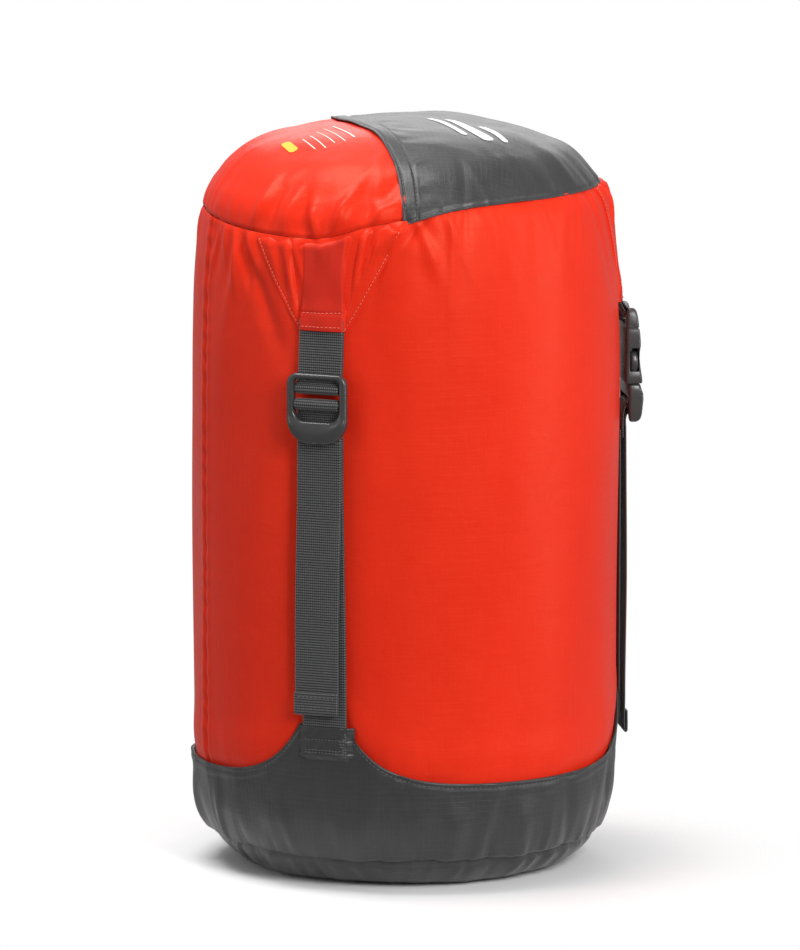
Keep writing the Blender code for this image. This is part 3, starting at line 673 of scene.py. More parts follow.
def onLid(x, y, lift):
    out = np.hypot(x, y)
    return onSack(np.arctan2(y, x), lidTop - out, lift)


def edgeX(planY):
    share = planY / flapEdge["rimY"]
    return flapEdge["x"] - flapEdge["bow"] * (1 - share**2) * (0.5 + 0.5 * share)


def lidSoftness(x, y):
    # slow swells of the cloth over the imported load
    swell = 0.0009 * np.cos(38 * x + 21 * y + 0.6) * np.cos(31 * y - 12 * x + 1.1)
    swell = swell + 0.0006 * np.cos(72 * x - 44 * y)
    return swell + 0.0004 * np.cos(130 * x + 55 * y + 2.0) * np.cos(90 * y - 60 * x)


def redLidLift(x, y):
    angle = np.arctan2(y, x)
    inward = lidTop - rimReach(angle) - np.hypot(x, y)
    around = angle * 0.112
    closeness = 1 - ramp(nearestStrap(angle), math.radians(14), math.radians(50))
    lift = lidSoftness(x, y) * ramp(inward, 0, 0.03)
    gathers = seamFolds(
        around, inward, 51, 70, (-0.36, 0.36), (0.0003, 0.0016), (0.0018, 0.0044), (0.007, 0.030)
    )
    lift += gathers * (0.45 + 0.9 * closeness)
    lift -= 0.0007 * np.exp(-((inward / 0.0012) ** 2))
    for side in (-1, 1):
        offset = (around - side * math.radians(120) * 0.112) * side
        for start, end, height, width in lidCreases:
            lift += crease(offset, inward, start, end, height, width)
    return lift


# creases in the red half above a ladder strap: start and end (off the strap's middle, in from the seam)
lidCreases = [
    ((-0.0060, 0.000), (-0.0100, 0.020), 0.0024, 0.0040),
    ((0.0060, 0.000), (0.0090, 0.017), 0.0031, 0.0032),
    ((0.0130, 0.000), (0.0170, 0.024), -0.0020, 0.0030),
    ((0.0250, 0.000), (0.0230, 0.030), 0.0020, 0.0040),
    ((0.0370, 0.000), (0.0360, 0.026), -0.0017, 0.0032),
    ((0.0470, 0.000), (0.0450, 0.034), 0.0017, 0.0036),
    ((-0.0220, 0.002), (-0.0420, 0.012), 0.0017, 0.0040),
    ((-0.0260, 0.012), (-0.0480, 0.030), -0.0014, 0.0050),
]


def flapFar(angle):
    return lidTop - rimReach(angle) + lid["overhang"]


def flapInward(x, y):
    return flapFar(np.arctan2(y, x)) - np.hypot(x, y)


def flapLift(x, y, fromEdge, inward):
    lift = lid["flapStand"] + lidSoftness(x, y) * ramp(inward, 0, 0.03)
    lift += 0.00025 * np.cos(170 * x + 60 * y) * np.cos(140 * y - 33 * x)
    hem = 1 - ramp(fromEdge, lid["hemWidth"] - 0.0012, lid["hemWidth"] + 0.0010)
    lift += 0.0006 * hem
    lift -= 0.0006 * np.exp(-(((fromEdge - lid["hemWidth"]) / 0.0007) ** 2))
    lift -= 0.0004 * np.exp(-(((fromEdge - 0.0018) / 0.0006) ** 2))
    pastHem = fromEdge - lid["hemWidth"]
    puckers = seamFolds(
        y, pastHem, 61, 36, (-0.11, 0.11), (0.0001, 0.0007), (0.0016, 0.0038), (0.004, 0.014)
    )
    lift += puckers * ramp(fromEdge, lid["hemWidth"], lid["hemWidth"] + 0.003)
    around = np.arctan2(y, x) * 0.112
    lift += seamFolds(
        around, inward, 62, 60, (-0.20, 0.20), (0.0001, 0.0009), (0.0018, 0.0045), (0.005, 0.022)
    )
    lift -= 0.0005 * np.exp(-(((inward - 0.0012) / 0.0012) ** 2))
    return lift


def makeRedLid():
    # rows run from under the flap's hem out to the seam
    turn = math.pi - flapEdge["rimAngle"]
    side = np.linspace(-1, 1, lid["redColumns"])[None, :] * 0.9995
    angle = math.pi - side * turn
    outX = (lidTop - rimReach(angle)) * np.cos(angle)
    outY = (lidTop - rimReach(angle)) * np.sin(angle)
    planY = flapEdge["rimY"] * np.sin(side * math.pi / 2) * 0.985
    inX, inY = laidOut(edgeX(planY) + 0.0075 * (1 - side**8), planY)
    share = np.linspace(0, 1, lid["redRows"])[:, None]
    x = inX + (outX - inX) * share
    y = inY + (outY - inY) * share
    points = onLid(x, y, redLidLift(x, y))
    piece = clothPiece("lidRedPanel", points, redCloth, (x, y))
    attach(piece, "lid")
    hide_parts("lid_panel")
    return piece


def makeFlap():
    # rows run from the turned hem along the fold out to the overhanging rim
    turn = flapEdge["rimAngle"]
    side = np.linspace(-1, 1, lid["flapColumns"])[None, :] * 0.9995
    angle = side * turn
    far = flapFar(angle)
    outX, outY = far * np.cos(angle), far * np.sin(angle)
    planY = flapEdge["rimY"] * np.sin(side * math.pi / 2) * 1.003
    inX, inY = laidOut(edgeX(planY), planY)
    endX, endY = flapFar(turn) * math.cos(turn), flapFar(turn) * math.sin(turn)
    snug = np.abs(side) ** 30
    inX = inX * (1 - snug) + endX * snug
    inY = inY * (1 - snug) + endY * np.sign(side) * snug
    share = np.linspace(0, 1, lid["flapRows"])[:, None]
    share = share - 0.35 * np.sin(2 * math.pi * share) / (2 * math.pi)
    x = inX + (outX - inX) * share
    y = inY + (outY - inY) * share
    fromEdge = np.hypot(x - inX, y - inY)
    inward = flapInward(x, y)
    lift = flapLift(x, y, fromEdge, inward)
    upper = onLid(x, y, lift)
    under = onLid(x, y, lift - 0.0007)
    rolledIn = onLid(
        inX - 0.0002, inY, flapLift(inX, inY, np.zeros(inX.shape), flapInward(inX, inY)) - 0.0003
    )
    rolledOut = onLid(outX * 1.002, outY * 1.002, lift[-1:] - 0.00035)
    points = np.concatenate([under[4::-2], rolledIn, upper, rolledOut, under[-1:-7:-2]])
    wide = np.concatenate([x[4::-2], inX, x, outX, x[-1:-7:-2]])
    long = np.concatenate([y[4::-2], inY, y, outY, y[-1:-7:-2]])
    piece = clothPiece("flapCloth", points, greyCloth, (wide, long), turnOver=True)
    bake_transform(piece)
    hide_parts("lid_band", "lid_flap")
    return piece


print("making the cloth")
makeWall()
makeSkirt()
makeBasePanel()
makeRedLid()
makeFlap()


# Straps: each is shaped in its own upright plane, as distance out from the axis, along the girth, and height
webbing = {
    "width": 0.025, "thickness": 0.0011, "ribPitch": 0.00138, "stepsPerRib": 5, "across": 9,
    "ribHeight": 0.00030, "edgeWave": 0.00012,
}


def sampled(place, along, points):
    return np.stack([np.interp(place, along, values) for values in points.T], axis=1)


def smoothPath(points, spacing):
    # even steps along a smooth line through a few points
    length = np.sum(np.linalg.norm(np.diff(np.array(points, float), axis=0), axis=1))
    dense = smoothCurve(points, max(int(length / spacing * 3), 60))
    along = np.concatenate([[0], np.cumsum(np.linalg.norm(np.diff(dense, axis=0), axis=1))])
    place = np.linspace(0, along[-1], max(int(round(along[-1] / spacing)), 4) + 1)
    return sampled(place, along, dense), place


def arcPath(centre, radius, start, end, steps):
    turns = np.radians(np.linspace(start, end, steps))
    return [(centre[0] + radius * math.cos(turn), centre[1] + radius * math.sin(turn)) for turn in turns]


def strapWebbing(name, strapAngle, path, ribHeight=None, side=None, sway=None):
    # path runs along the webbing's middle; side shifts it along the girth, as (height, shift) pairs
    ribHeight = webbing["ribHeight"] if ribHeight is None else ribHeight
    spacing = webbing["ribPitch"] / webbing["stepsPerRib"]
    line, along = smoothPath(path, spacing)
    ahead = np.gradient(line, axis=0)
    ahead /= np.linalg.norm(ahead, axis=1)[:, None]
    outward = np.stack([ahead[:, 1], -ahead[:, 0]], axis=1)
    rib = np.abs(np.cos(math.pi * along / webbing["ribPitch"])) ** 0.7
    shares = np.sin(np.linspace(-1, 1, webbing["across"]) * math.pi / 2)
    half = webbing["thickness"] / 2
    face = half * (1 - np.abs(shares) ** 10) ** 0.25 + 0.00001
    sides = []
    for direction in (1, -1):
        sides.append((shares[::direction], face[::direction] * direction))
    shares = np.concatenate([sides[0][0], sides[1][0]])
    offsets = np.concatenate([sides[0][1], sides[1][1]])
    crest = 1 - np.abs(shares) ** 6
    ridge = ribHeight * (rib[:, None] - 0.75)
    tall = offsets[None, :] + np.sign(offsets)[None, :] * crest[None, :] * ridge
    wide = (webbing["width"] / 2 + webbing["edgeWave"] * (rib[:, None] * 2 - 1)) * shares[None, :]
    shift = np.zeros(len(line))
    if side is not None:
        heights, shifts = zip(*sorted(side))
        shift = np.interp(line[:, 1], heights, shifts)
    cup = 0.0
    if sway is not None:
        cup = sway * np.sin(along[:, None] * 31 + 0.7) * shares[None, :]
    out = line[:, :1] + outward[:, :1] * (tall + cup)
    up = line[:, 1:] + outward[:, 1:] * (tall + cup)
    around = wide + shift[:, None]
    turn = np.array([math.cos(strapAngle), math.sin(strapAngle)])
    points = np.stack([out * turn[0] - around * turn[1], out * turn[1] + around * turn[0], up], axis=-1)
    lengthwise, ribs = (np.broadcast_to(values[:, None], wide.shape) for values in (along, rib))
    weave = np.stack([wide, lengthwise, ribs], axis=-1)
    rows, columns = points.shape[:2]
    faces = gridFaces(rows, columns, True).tolist()
    faces.append(list(range(columns))[::-1])
    faces.append([(rows - 1) * columns + column for column in range(columns)])
    piece = makePiece(name, points, faces, webbingCloth, weave)
    turnFacesOut(piece)
    return piece


def turnFacesOut(piece):
    # a closed solid whose volume comes out negative is inside out
    mesh = piece.data
    mesh.calc_loop_triangles()
    corners = np.empty(len(mesh.vertices) * 3)
    mesh.vertices.foreach_get("co", corners)
    corners = corners.reshape(-1, 3)
    triangles = np.empty(len(mesh.loop_triangles) * 3, np.int32)
    mesh.loop_triangles.foreach_get("vertices", triangles)
    first, second, third = (corners[triangles.reshape(-1, 3)[:, corner]] for corner in range(3))
    if np.einsum("ij,ij->", first, np.cross(second, third)) < 0:
        mesh.flip_normals()


strapLines = {
    "inner": 0.11505, "second": 0.11655, "third": 0.11795,
    "ladderBar": (0.1204, 0.2708), "ladderBarRadius": 0.0011,
    "gripBar": (0.1206, 0.2628), "gripBarRadius": 0.0017,
    "socketBar": (0.1208, 0.2930), "socketBarRadius": 0.0012, "plugBar": (0.1206, 0.2442),
    "anchorLow": 0.074, "loadTop": {"front": 0.2560, "rear": 0.2560, "release": 0.2320},
    "tailTop": {"front": 0.2423, "rear": 0.2423, "release": 0.2338},
    "tailEnd": {"front": 0.0965, "rear": 0.1040, "release": 0.0670}, "foldHeight": 0.0115,
    "gussetLow": 0.3012, "drift": {"front": 0.0018, "rear": -0.0014, "release": 0.0010},
}
bodyOf = {
    "front": ("lid", "front_buckle", "front_tail"),
    "rear": ("lid", "rear_buckle", "rear_tail"),
    "release": ("release_socket", "release_plug", "release_tail"),
}


def makeUpperStrap(strap):
    # doubled webbing: down from under the gusset, round the buckle's bar and back up behind
    bar, barRadius = strapLines["ladderBar"], strapLines["ladderBarRadius"]
    if strap == "release":
        bar, barRadius = strapLines["socketBar"], strapLines["socketBarRadius"]
    reach = barRadius + 0.0003 + webbing["thickness"] / 2
    top = strapLines["gussetLow"] + 0.0060
    path = [(0.11490, top), (0.11500, top - 0.005), (0.11590, bar[1] + 0.0185)]
    path += [(0.11635, bar[1] + 0.0125), (0.1172, bar[1] + 0.0070)]
    if strap == "release":
        path = [(0.11490, top), (0.11530, top - 0.004), (0.1187, bar[1] + 0.0050)]
    path += arcPath(bar, reach, 68, -172, 14)
    if strap == "release":
        path += [(0.1170, bar[1] + 0.0040), (0.1141, top - 0.004), (0.1137, top)]
    else:
        path += [(0.1168, bar[1] + 0.0050), (0.1153, bar[1] + 0.0120)]
        path += [(0.11480, bar[1] + 0.020), (0.11375, top)]
    name = "upperStrap" + strap.capitalize()
    piece = strapWebbing(name, sack["strapAngles"][strap], path)
    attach(piece, bodyOf[strap][0])
    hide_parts("upper_strap_" + strap)


def makeLoadStrap(strap):
    low, top = strapLines["anchorLow"], strapLines["loadTop"][strap]
    inner = strapLines["inner"]
    drift = strapLines["drift"][strap]
    path = [(inner, low), (inner, low + 0.03), (inner, top - 0.05), (inner, top)]
    side = [(low, drift), (low + 0.06, drift * 0.75), (top - 0.04, 0.0), (top, 0.0)]
    name = "loadStrap" + strap.capitalize()
    piece = strapWebbing(name, sack["strapAngles"][strap], path, ribHeight=0.00022, side=side)
    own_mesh(piece)
    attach(piece, "base")
    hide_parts("load_strap_" + strap)


def makeWrap(strap):
    bar = strapLines["plugBar"] if strap == "release" else strapLines["gripBar"]
    legLow = 0.2275 if strap == "release" else 0.2470
    lipLow = strapLines["tailTop"][strap]
    inner, outer = strapLines["second"], strapLines["third"]
    reach = strapLines["gripBarRadius"] + 0.0003 + webbing["thickness"] / 2
    path = [(inner, legLow), (inner, bar[1] - 0.0075), (inner + 0.0003, bar[1] - 0.0035)]
    path += arcPath(bar, reach, 165, -98, 16)
    path += [(outer + 0.0008, bar[1] - 0.0036), (outer, bar[1] - 0.0060), (outer, lipLow)]
    piece = strapWebbing("strapWrap" + strap.capitalize(), sack["strapAngles"][strap], path)
    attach(piece, bodyOf[strap][1])
    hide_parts("strap_wrap_" + strap)


def makeTail(strap):
    # the free end hangs outside the load strap, and its last stretch is folded out and sewn
    low, top, fold = strapLines["tailEnd"][strap], strapLines["tailTop"][strap], strapLines["foldHeight"]
    outer = strapLines["third"]
    gap = webbing["thickness"] + 0.0001
    lean = {"front": -0.0017, "rear": 0.0013, "release": -0.0008}[strap]
    path = [(outer, top), (outer + 0.0002, top - 0.03), (outer + 0.0006, (top + low) / 2)]
    path += [(outer, low + 0.02), (outer, low + 0.0012)]
    path += arcPath((outer + gap / 2, low + 0.0009), gap / 2, 200, 340, 6)
    path += [(outer + gap, low + 0.0014), (outer + gap, low + fold)]
    side = [(low, lean), (low + 0.05, lean * 0.8), (top - 0.03, 0.0), (top, 0.0)]
    name = "strapTail" + strap.capitalize()
    turn = sack["strapAngles"][strap]
    piece = strapWebbing(name, turn, path, ribHeight=0.00024, side=side, sway=0.00012)
    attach(piece, bodyOf[strap][2])
    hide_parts("strap_tail_" + strap)
    rows = []
    out, acrosses = outer + gap + 0.0006, np.linspace(-0.0108, 0.0108, 40)
    for height in (low + 0.0030, low + 0.0046, low + fold - 0.0020):
        rows.append([(out, across + lean, height) for across in acrosses])
    name = "tailStitches" + strap.capitalize()
    stitchRows(name, rows, strap, greyThread, bodyOf[strap][2], 0.0022)


def inStrapPlane(strap, place):
    turn = sack["strapAngles"][strap]
    out, around, up = place
    cos, sin = math.cos(turn), math.sin(turn)
    return out * cos - around * sin, out * sin + around * cos, up


def stitchRows(name, rows, strap, material, body, pitch, rise=0.00022, thick=0.00018):
    # rows of places in a strap's plane, made into lines of sewn stitches
    lines = []
    for row in rows:
        points = np.array([inStrapPlane(strap, place) for place in row])
        outward = np.array([inStrapPlane(strap, (1, 0, 0))] * len(row))
        lines.append((points, outward))
    piece = stitches(name, lines, material, pitch, rise, thick)
    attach(piece, body)
    return piece


def stitches(name, lines, material, pitch, rise=0.00022, thick=0.00018):
    # each stitch is a short bead of thread, pointed at its ends
    rounds, rings = 6, 5
    turns = np.linspace(0, 2 * math.pi, rounds, endpoint=False)
    swell = np.array([0.35, 0.85, 1.0, 0.85, 0.35])
    reach = np.linspace(-0.5, 0.5, rings)
    vertices, faces = [], []
    for points, outward in lines:
        along = np.concatenate([[0], np.cumsum(np.linalg.norm(np.diff(points, axis=0), axis=1))])
        count = max(int(along[-1] / pitch), 1)
        middle = (np.arange(count) + 0.5) * along[-1] / count
        place = sampled(middle, along, points)
        ahead = sampled(middle + 0.0003, along, points) - sampled(middle - 0.0003, along, points)
        ahead /= np.linalg.norm(ahead, axis=1)[:, None]
        up = sampled(middle, along, outward)
        up -= ahead * np.einsum("ij,ij->i", up, ahead)[:, None]
        up /= np.linalg.norm(up, axis=1)[:, None]
        side = np.cross(ahead, up)
        length = pitch * 0.74
        for spot in range(count):
            start = len(vertices)
            for ring in range(rings):
                for turn in turns:
                    flat = side[spot] * math.cos(turn) * thick * swell[ring]
                    height = math.sin(turn) * rise * 0.7 * swell[ring] + rise * (swell[ring] - 0.6)
                    tall = up[spot] * height
                    vertices.append(place[spot] + ahead[spot] * reach[ring] * length + flat + tall)
            for ring in range(rings - 1):
                for index in range(rounds):
                    after = (index + 1) % rounds
                    low, high = start + ring * rounds, start + (ring + 1) * rounds
                    faces.append([low + index, low + after, high + after, high + index])
            faces.append([start + index for index in range(rounds)][::-1])
            faces.append([start + (rings - 1) * rounds + index for index in range(rounds)])
    return makePiece(name, np.array(vertices), faces, material)


print("making the straps")
for strap in sack["strapAngles"]:
    makeUpperStrap(strap)
    makeLoadStrap(strap)
    makeWrap(strap)
    makeTail(strap)


# Gussets: tapered cloth that spreads each strap's pull along the lid's seam
gusset = {
    "low": 0.3012, "lowHalf": math.radians(6.8), "highHalf": math.radians(23.2),
    "columns": 150, "rows": 130, "stand": 0.0009, "patchHalf": 0.0122, "patchTop": 0.0040,
    "patchLow": 0.0095, "flat": (0.094, 0.062), "area": 0.0032, "edgeSeam": 0.0016,
}
# folds beside the webbing that is sewn in under the cloth: places as metres off the middle and below the seam
gussetFolds = [
    ((-0.0185, 0.001), (-0.0125, 0.040), -0.0036, 0.0024),
    ((-0.0245, 0.000), (-0.0150, 0.032), 0.0023, 0.0026),
    ((-0.0290, 0.001), (-0.0205, 0.026), -0.0019, 0.0022),
    ((-0.0360, 0.000), (-0.0290, 0.016), 0.0014, 0.0026),
    ((0.0175, 0.002), (0.0130, 0.041), -0.0029, 0.0022),
    ((0.0235, 0.000), (0.0150, 0.040), 0.0025, 0.0030),
    ((0.0300, 0.003), (0.0190, 0.034), -0.0012, 0.0028),
    ((0.0370, 0.000), (0.0260, 0.022), 0.0010, 0.0034),
]


def patchMask(offset, below):
    # where the webbing is sewn in under the cloth
    half = gusset["patchHalf"] - 0.0011 * np.sin(math.pi * np.clip(below / 0.038, 0, 1))
    within = 1 - ramp(np.abs(offset) - half, -0.0010, 0.0010)
    return within, ramp(below, gusset["patchTop"] - 0.003, gusset["patchTop"] + 0.0005)


def gussetPoints(strap, share, across, extra=0.0):
    # share runs from the seam to the low hem, across from -1 to 1 between the sewn edges
    middle = sack["strapAngles"][strap]
    mirror = 1 if strap == "front" else -1
    half = gusset["highHalf"] + (gusset["lowHalf"] - gusset["highHalf"]) * share
    angle = middle + half * across
    top = rimReach(angle) - 0.0004
    low = reachOfHeight(gusset["low"])
    reach = top + (low - top) * share
    below = top - reach
    offset = (angle - middle) * sack["radius"] * -mirror
    ease = 1 - ramp(below, 0, 0.02) * 0.75
    lift = gusset["stand"] + wallLift(angle, reach) * ease * ramp(below, 0.001, 0.006)
    lift -= 0.0016 * np.exp(-((below / 0.0022) ** 2))
    within, down = patchMask(offset, below)
    lift += (0.0009 + 0.0016 * ramp(share, 0.62, 0.97)) * within * down
    for start, end, height, width in gussetFolds:
        lift += crease(offset, below, start, end, height, width) * (1 - within * 0.85)
    lift += 0.0004 * within * down * np.cos(offset * 420) * np.cos(below * 160)
    edge = (1 - np.abs(across)) * half * sack["radius"]
    lift -= 0.00045 * np.exp(-(((edge - gusset["edgeSeam"]) / 0.0006) ** 2)) * (1 - ramp(share, 0.97, 1.0))
    hem = reach - low
    lift -= 0.0004 * np.exp(-(((hem - gusset["patchLow"]) / 0.0008) ** 2)) * within
    return onSack(angle, reach, lift + extra), angle, reach, lift


def makeGusset(strap):
    share = np.linspace(0, 1, gusset["rows"])[:, None]
    across = np.linspace(-1, 1, gusset["columns"])[None, :]
    share, across = np.broadcast_arrays(share, across)
    points, angle, reach, lift = gussetPoints(strap, share, across)
    tucked = onSack(angle, reach, lift - 0.0008)
    # its two slanted edges and its hem are turned under
    grid = np.concatenate([points, tucked[-1:]])
    sideLeft = np.concatenate([tucked[:, :1], tucked[-1:, :1]])
    sideRight = np.concatenate([tucked[:, -1:], tucked[-1:, -1:]])
    grid = np.concatenate([sideLeft, grid, sideRight], axis=1)
    offset = angle * sack["radius"]
    wide = np.concatenate([offset, offset[-1:]])
    wide = np.concatenate([wide[:, :1], wide, wide[:, -1:]], axis=1)
    tall = np.concatenate([reach, reach[-1:]])
    tall = np.concatenate([tall[:, :1], tall, tall[:, -1:]], axis=1)
    name = "gussetCloth" + strap.capitalize()
    piece = clothPiece(name, grid, redCloth, (wide, tall), turnOver=True)
    middle = sack["strapAngles"][strap] * sack["radius"]
    within, down = patchMask(wide - middle, tall[:1] - tall)
    weave = np.stack([wide, tall, within * down], axis=-1).astype(np.float32)
    piece.data.attributes["weave"].data.foreach_set("vector", weave.ravel())
    if strap == "release":
        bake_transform(piece)
    else:
        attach(piece, "lid")
    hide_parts("gusset_" + strap)
    return piece


def makeGussetSeams(strap):
    # one row of stitching inside each slanted edge, and two across the foot of the sewn-in webbing
    lines = []
    steps = np.linspace(0.015, 0.985, 90)
    for sideSign in (-1, 1):
        half = gusset["highHalf"] + (gusset["lowHalf"] - gusset["highHalf"]) * steps
        across = sideSign * (1 - gusset["edgeSeam"] / (half * sack["radius"]))
        lines.append(seamLine(strap, steps, across))
    low = reachOfHeight(gusset["low"])
    for height in (gusset["patchLow"], 0.0022):
        share = 1 - height / (rimReach(sack["strapAngles"][strap]) - low)
        half = gusset["highHalf"] + (gusset["lowHalf"] - gusset["highHalf"]) * share
        limit = min(0.0112 / (half * sack["radius"]), 0.93)
        across = np.linspace(-limit, limit, 30)
        lines.append(seamLine(strap, np.full(30, share), across))
    piece = stitches("gussetStitches" + strap.capitalize(), lines, redThread, 0.0022, 0.00030, 0.00022)
    if strap == "release":
        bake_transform(piece)
    else:
        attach(piece, "lid")


def seamLine(strap, share, across):
    points = gussetPoints(strap, share, across, 0.00025)[0]
    outer = gussetPoints(strap, share, across, 0.00125)[0]
    return points, outer - points


# Patches that hold the load straps down on the skirt, with rows of stitching across them
anchor = {
    "low": 0.0735, "high": 0.0895, "half": 0.0128, "skirtRun": 0.0034, "stand": 0.00265,
    "columns": 70, "rows": 44,
}


def anchorPoint(strap, offset, height, extra=0.0):
    turn = sack["strapAngles"][strap]
    shift = strapLines["drift"][strap]
    angle = turn + (offset + shift) / sack["radius"]
    reach = reachOfHeight(height)
    rise = 1 - ramp(np.abs(offset), 0.0115, anchor["half"] + anchor["skirtRun"])
    lift = 0.0006 + (anchor["stand"] - 0.0006) * rise + extra
    return onSack(angle, reach, lift)


def makeAnchor(strap):
    offset = np.linspace(-1, 1, anchor["columns"])[None, :] * (anchor["half"] + anchor["skirtRun"])
    height = np.linspace(anchor["high"], anchor["low"] - 0.002, anchor["rows"])[:, None]
    offset, height = np.broadcast_arrays(offset, height)
    ripple = 0.00018 * np.cos(offset * 900 + 1.3) * np.cos(height * 700)
    for row in (anchor["low"] + 0.0025, anchor["low"] + 0.0095):
        ripple = ripple - 0.0004 * np.exp(-(((height - row) / 0.0006) ** 2))
    sink = -0.0022 * (1 - ramp(height, anchor["low"] - 0.002, anchor["low"] + 0.0006))
    upper = anchorPoint(strap, offset, height, ripple + sink)
    lip = anchorPoint(strap, offset[:1], height[:1] + 0.0001, -0.0011)
    points = np.concatenate([lip, upper])
    wide = np.concatenate([offset[:1], offset])
    tall = np.concatenate([height[:1], height])
    piece = clothPiece("anchorPatch" + strap.capitalize(), points, greyCloth, (wide, tall), turnOver=True)
    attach(piece, "base")
    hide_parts("lower_anchor_" + strap)
    lines = []
    for row in (anchor["low"] + 0.0025, anchor["low"] + 0.0038, anchor["low"] + 0.0095):
        across = np.linspace(-0.0112, 0.0112, 40)
        place = anchorPoint(strap, across, np.full(40, row), 0.0001)
        outer = anchorPoint(strap, across, np.full(40, row), 0.0011)
        lines.append((place, outer - place))
    bar = stitches("anchorStitches" + strap.capitalize(), lines, greyThread, 0.0019, 0.00028, 0.0002)
    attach(bar, "base")


def makeLongSeams():
    # topstitching along the skirt's hem and the flap's hem
    angle = np.linspace(-math.pi, math.pi, 2400)
    edge = reachOfHeight(skirtHeight(angle))
    fromEdge = np.full(angle.shape, 0.0022)
    place = onSack(angle, edge - fromEdge, skirtLift(angle, edge - fromEdge, fromEdge) + 0.0001)
    outer = onSack(angle, edge - fromEdge, skirtLift(angle, edge - fromEdge, fromEdge) + 0.0011)
    piece = stitches("skirtStitches", [(place, outer - place)], greyThread, 0.0026, 0.00022, 0.00018)
    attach(piece, "base")
    lines = []
    for gap in (0.0018, lid["hemWidth"] - 0.0002):
        planY = np.linspace(-0.985, 0.985, 700) * flapEdge["rimY"]
        x, y = laidOut(edgeX(planY), planY)
        x = x + gap
        lift = flapLift(x, y, np.full(x.shape, gap), flapInward(x, y))
        lines.append((onLid(x, y, lift + 0.0001), onLid(x, y, lift + 0.0011) - onLid(x, y, lift + 0.0001)))
    piece = stitches("flapStitches", lines, greyThread, 0.0026, 0.00024, 0.00018)
    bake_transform(piece)


print("making the gussets, patches and seams")
for strap in sack["strapAngles"]:
    makeGusset(strap)
    makeGussetSeams(strap)
    makeAnchor(strap)
makeLongSeams()


# Mouth: gathered cloth under the flap, drawn in to a hem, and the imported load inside
mouth = {
    "middleX": 0.042, "throatX": 0.020, "throatY": 0.032, "chordX": -0.013, "columns": 420,
    "rows": 70, "drop": 0.0034, "hemDrop": 0.0056, "hemRadius": 0.0027, "pleats": 38, "pleatHeight": 0.0013,
    "flat": (0.150, 0.240), "area": 0.0245,
}
lidHeights = outline[reachIndexOfLid:, 1][::-1]


def lidHeightAt(radius):
    return np.interp(radius, lidRadii, lidHeights)


def mouthReach(turn):
    # where a line from the throat's middle meets the seam round the flap, or the fold line
    across = np.cos(turn)
    half = -mouth["middleX"] * across
    rim = np.full(turn.shape, 0.104)
    for _ in range(4):
        reach = half + np.sqrt(half**2 + rim**2 - mouth["middleX"] ** 2)
        seamAngle = np.arctan2(reach * np.sin(turn), mouth["middleX"] + reach * across)
        rim = radiusAt(rimReach(seamAngle)) - 0.0004
    toChord = (mouth["middleX"] - mouth["chordX"]) / np.maximum(-across, 1e-6)
    toChord = np.where(across < -1e-6, toChord, 9.0)
    return np.minimum(reach, toChord)


def makeMouth():
    turn = np.linspace(0, 2 * math.pi, mouth["columns"], endpoint=False)
    phase = mouth["pleats"] * turn + 1.3 * np.sin(3 * turn) + 0.8 * np.sin(7 * turn + 1)
    outX = mouth["middleX"] + mouthReach(turn) * np.cos(turn)
    outY = mouthReach(turn) * np.sin(turn)
    hemX = mouth["middleX"] + mouth["throatX"] * np.cos(turn)
    hemY = mouth["throatY"] * np.sin(turn)
    away = np.stack([mouth["throatX"] * np.cos(turn), mouth["throatY"] * np.sin(turn)], axis=1)
    away /= np.linalg.norm(away, axis=1)[:, None]
    ripple = mouth["pleatHeight"] * (np.abs(np.sin(phase / 2)) - 0.6)
    rows = []
    for share in np.linspace(0, 1, mouth["rows"]):
        inX, inY = hemX + away[:, 0] * 0.0042, hemY + away[:, 1] * 0.0042
        x, y = outX + (inX - outX) * share, outY + (inY - outY) * share
        radius = np.hypot(x, y)
        drop = 0.0006 + (mouth["drop"] - 0.0006) * ramp(share, 0.0, 0.12) + 0.0006 * share
        gather = ripple * ramp(share, 0.10, 0.75) - 0.0007 * np.sin(math.pi * share)
        slack = 0.0005 * np.sin(phase / 3 + 5 * share) * np.sin(math.pi * share)
        rows.append(np.stack([x, y, lidHeightAt(radius) - drop + gather + slack], axis=1))
    hemHeight = lidHeightAt(np.hypot(hemX, hemY)) - mouth["hemDrop"]
    for degrees in np.linspace(60, -170, 18):
        curl = math.radians(degrees)
        puff = 1 + 0.10 * np.sin(phase)
        out = mouth["hemRadius"] * puff * math.cos(curl)
        height = hemHeight + mouth["hemRadius"] * puff * math.sin(curl)
        rows.append(np.stack([hemX + away[:, 0] * out, hemY + away[:, 1] * out, height], axis=1))
    points = np.array(rows)
    inward = np.linspace(0, 0.08, len(rows))[:, None]
    weave = np.broadcast_arrays(turn[None, :] * 0.07, inward)
    piece = clothPiece("mouthCollar", points, redCloth, weave, closed=True)
    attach(piece, "lid")
    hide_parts("mouth_collar")


load = {
    "shape": [
        (0.0, 0.3875), (0.030, 0.3868), (0.060, 0.3832), (0.080, 0.3762), (0.094, 0.3645),
        (0.1010, 0.3520), (0.1052, 0.337), (0.1085, 0.315), (0.1106, 0.285), (0.1112, 0.240),
        (0.1110, 0.150), (0.1098, 0.090), (0.1078, 0.050), (0.1058, 0.034), (0.1020, 0.0235),
        (0.0960, 0.0145), (0.088, 0.0080), (0.078, 0.0028), (0.0, 0.0026),
    ],
    "columns": 180, "channel": 0.046, "channelDepth": 0.0022,
}


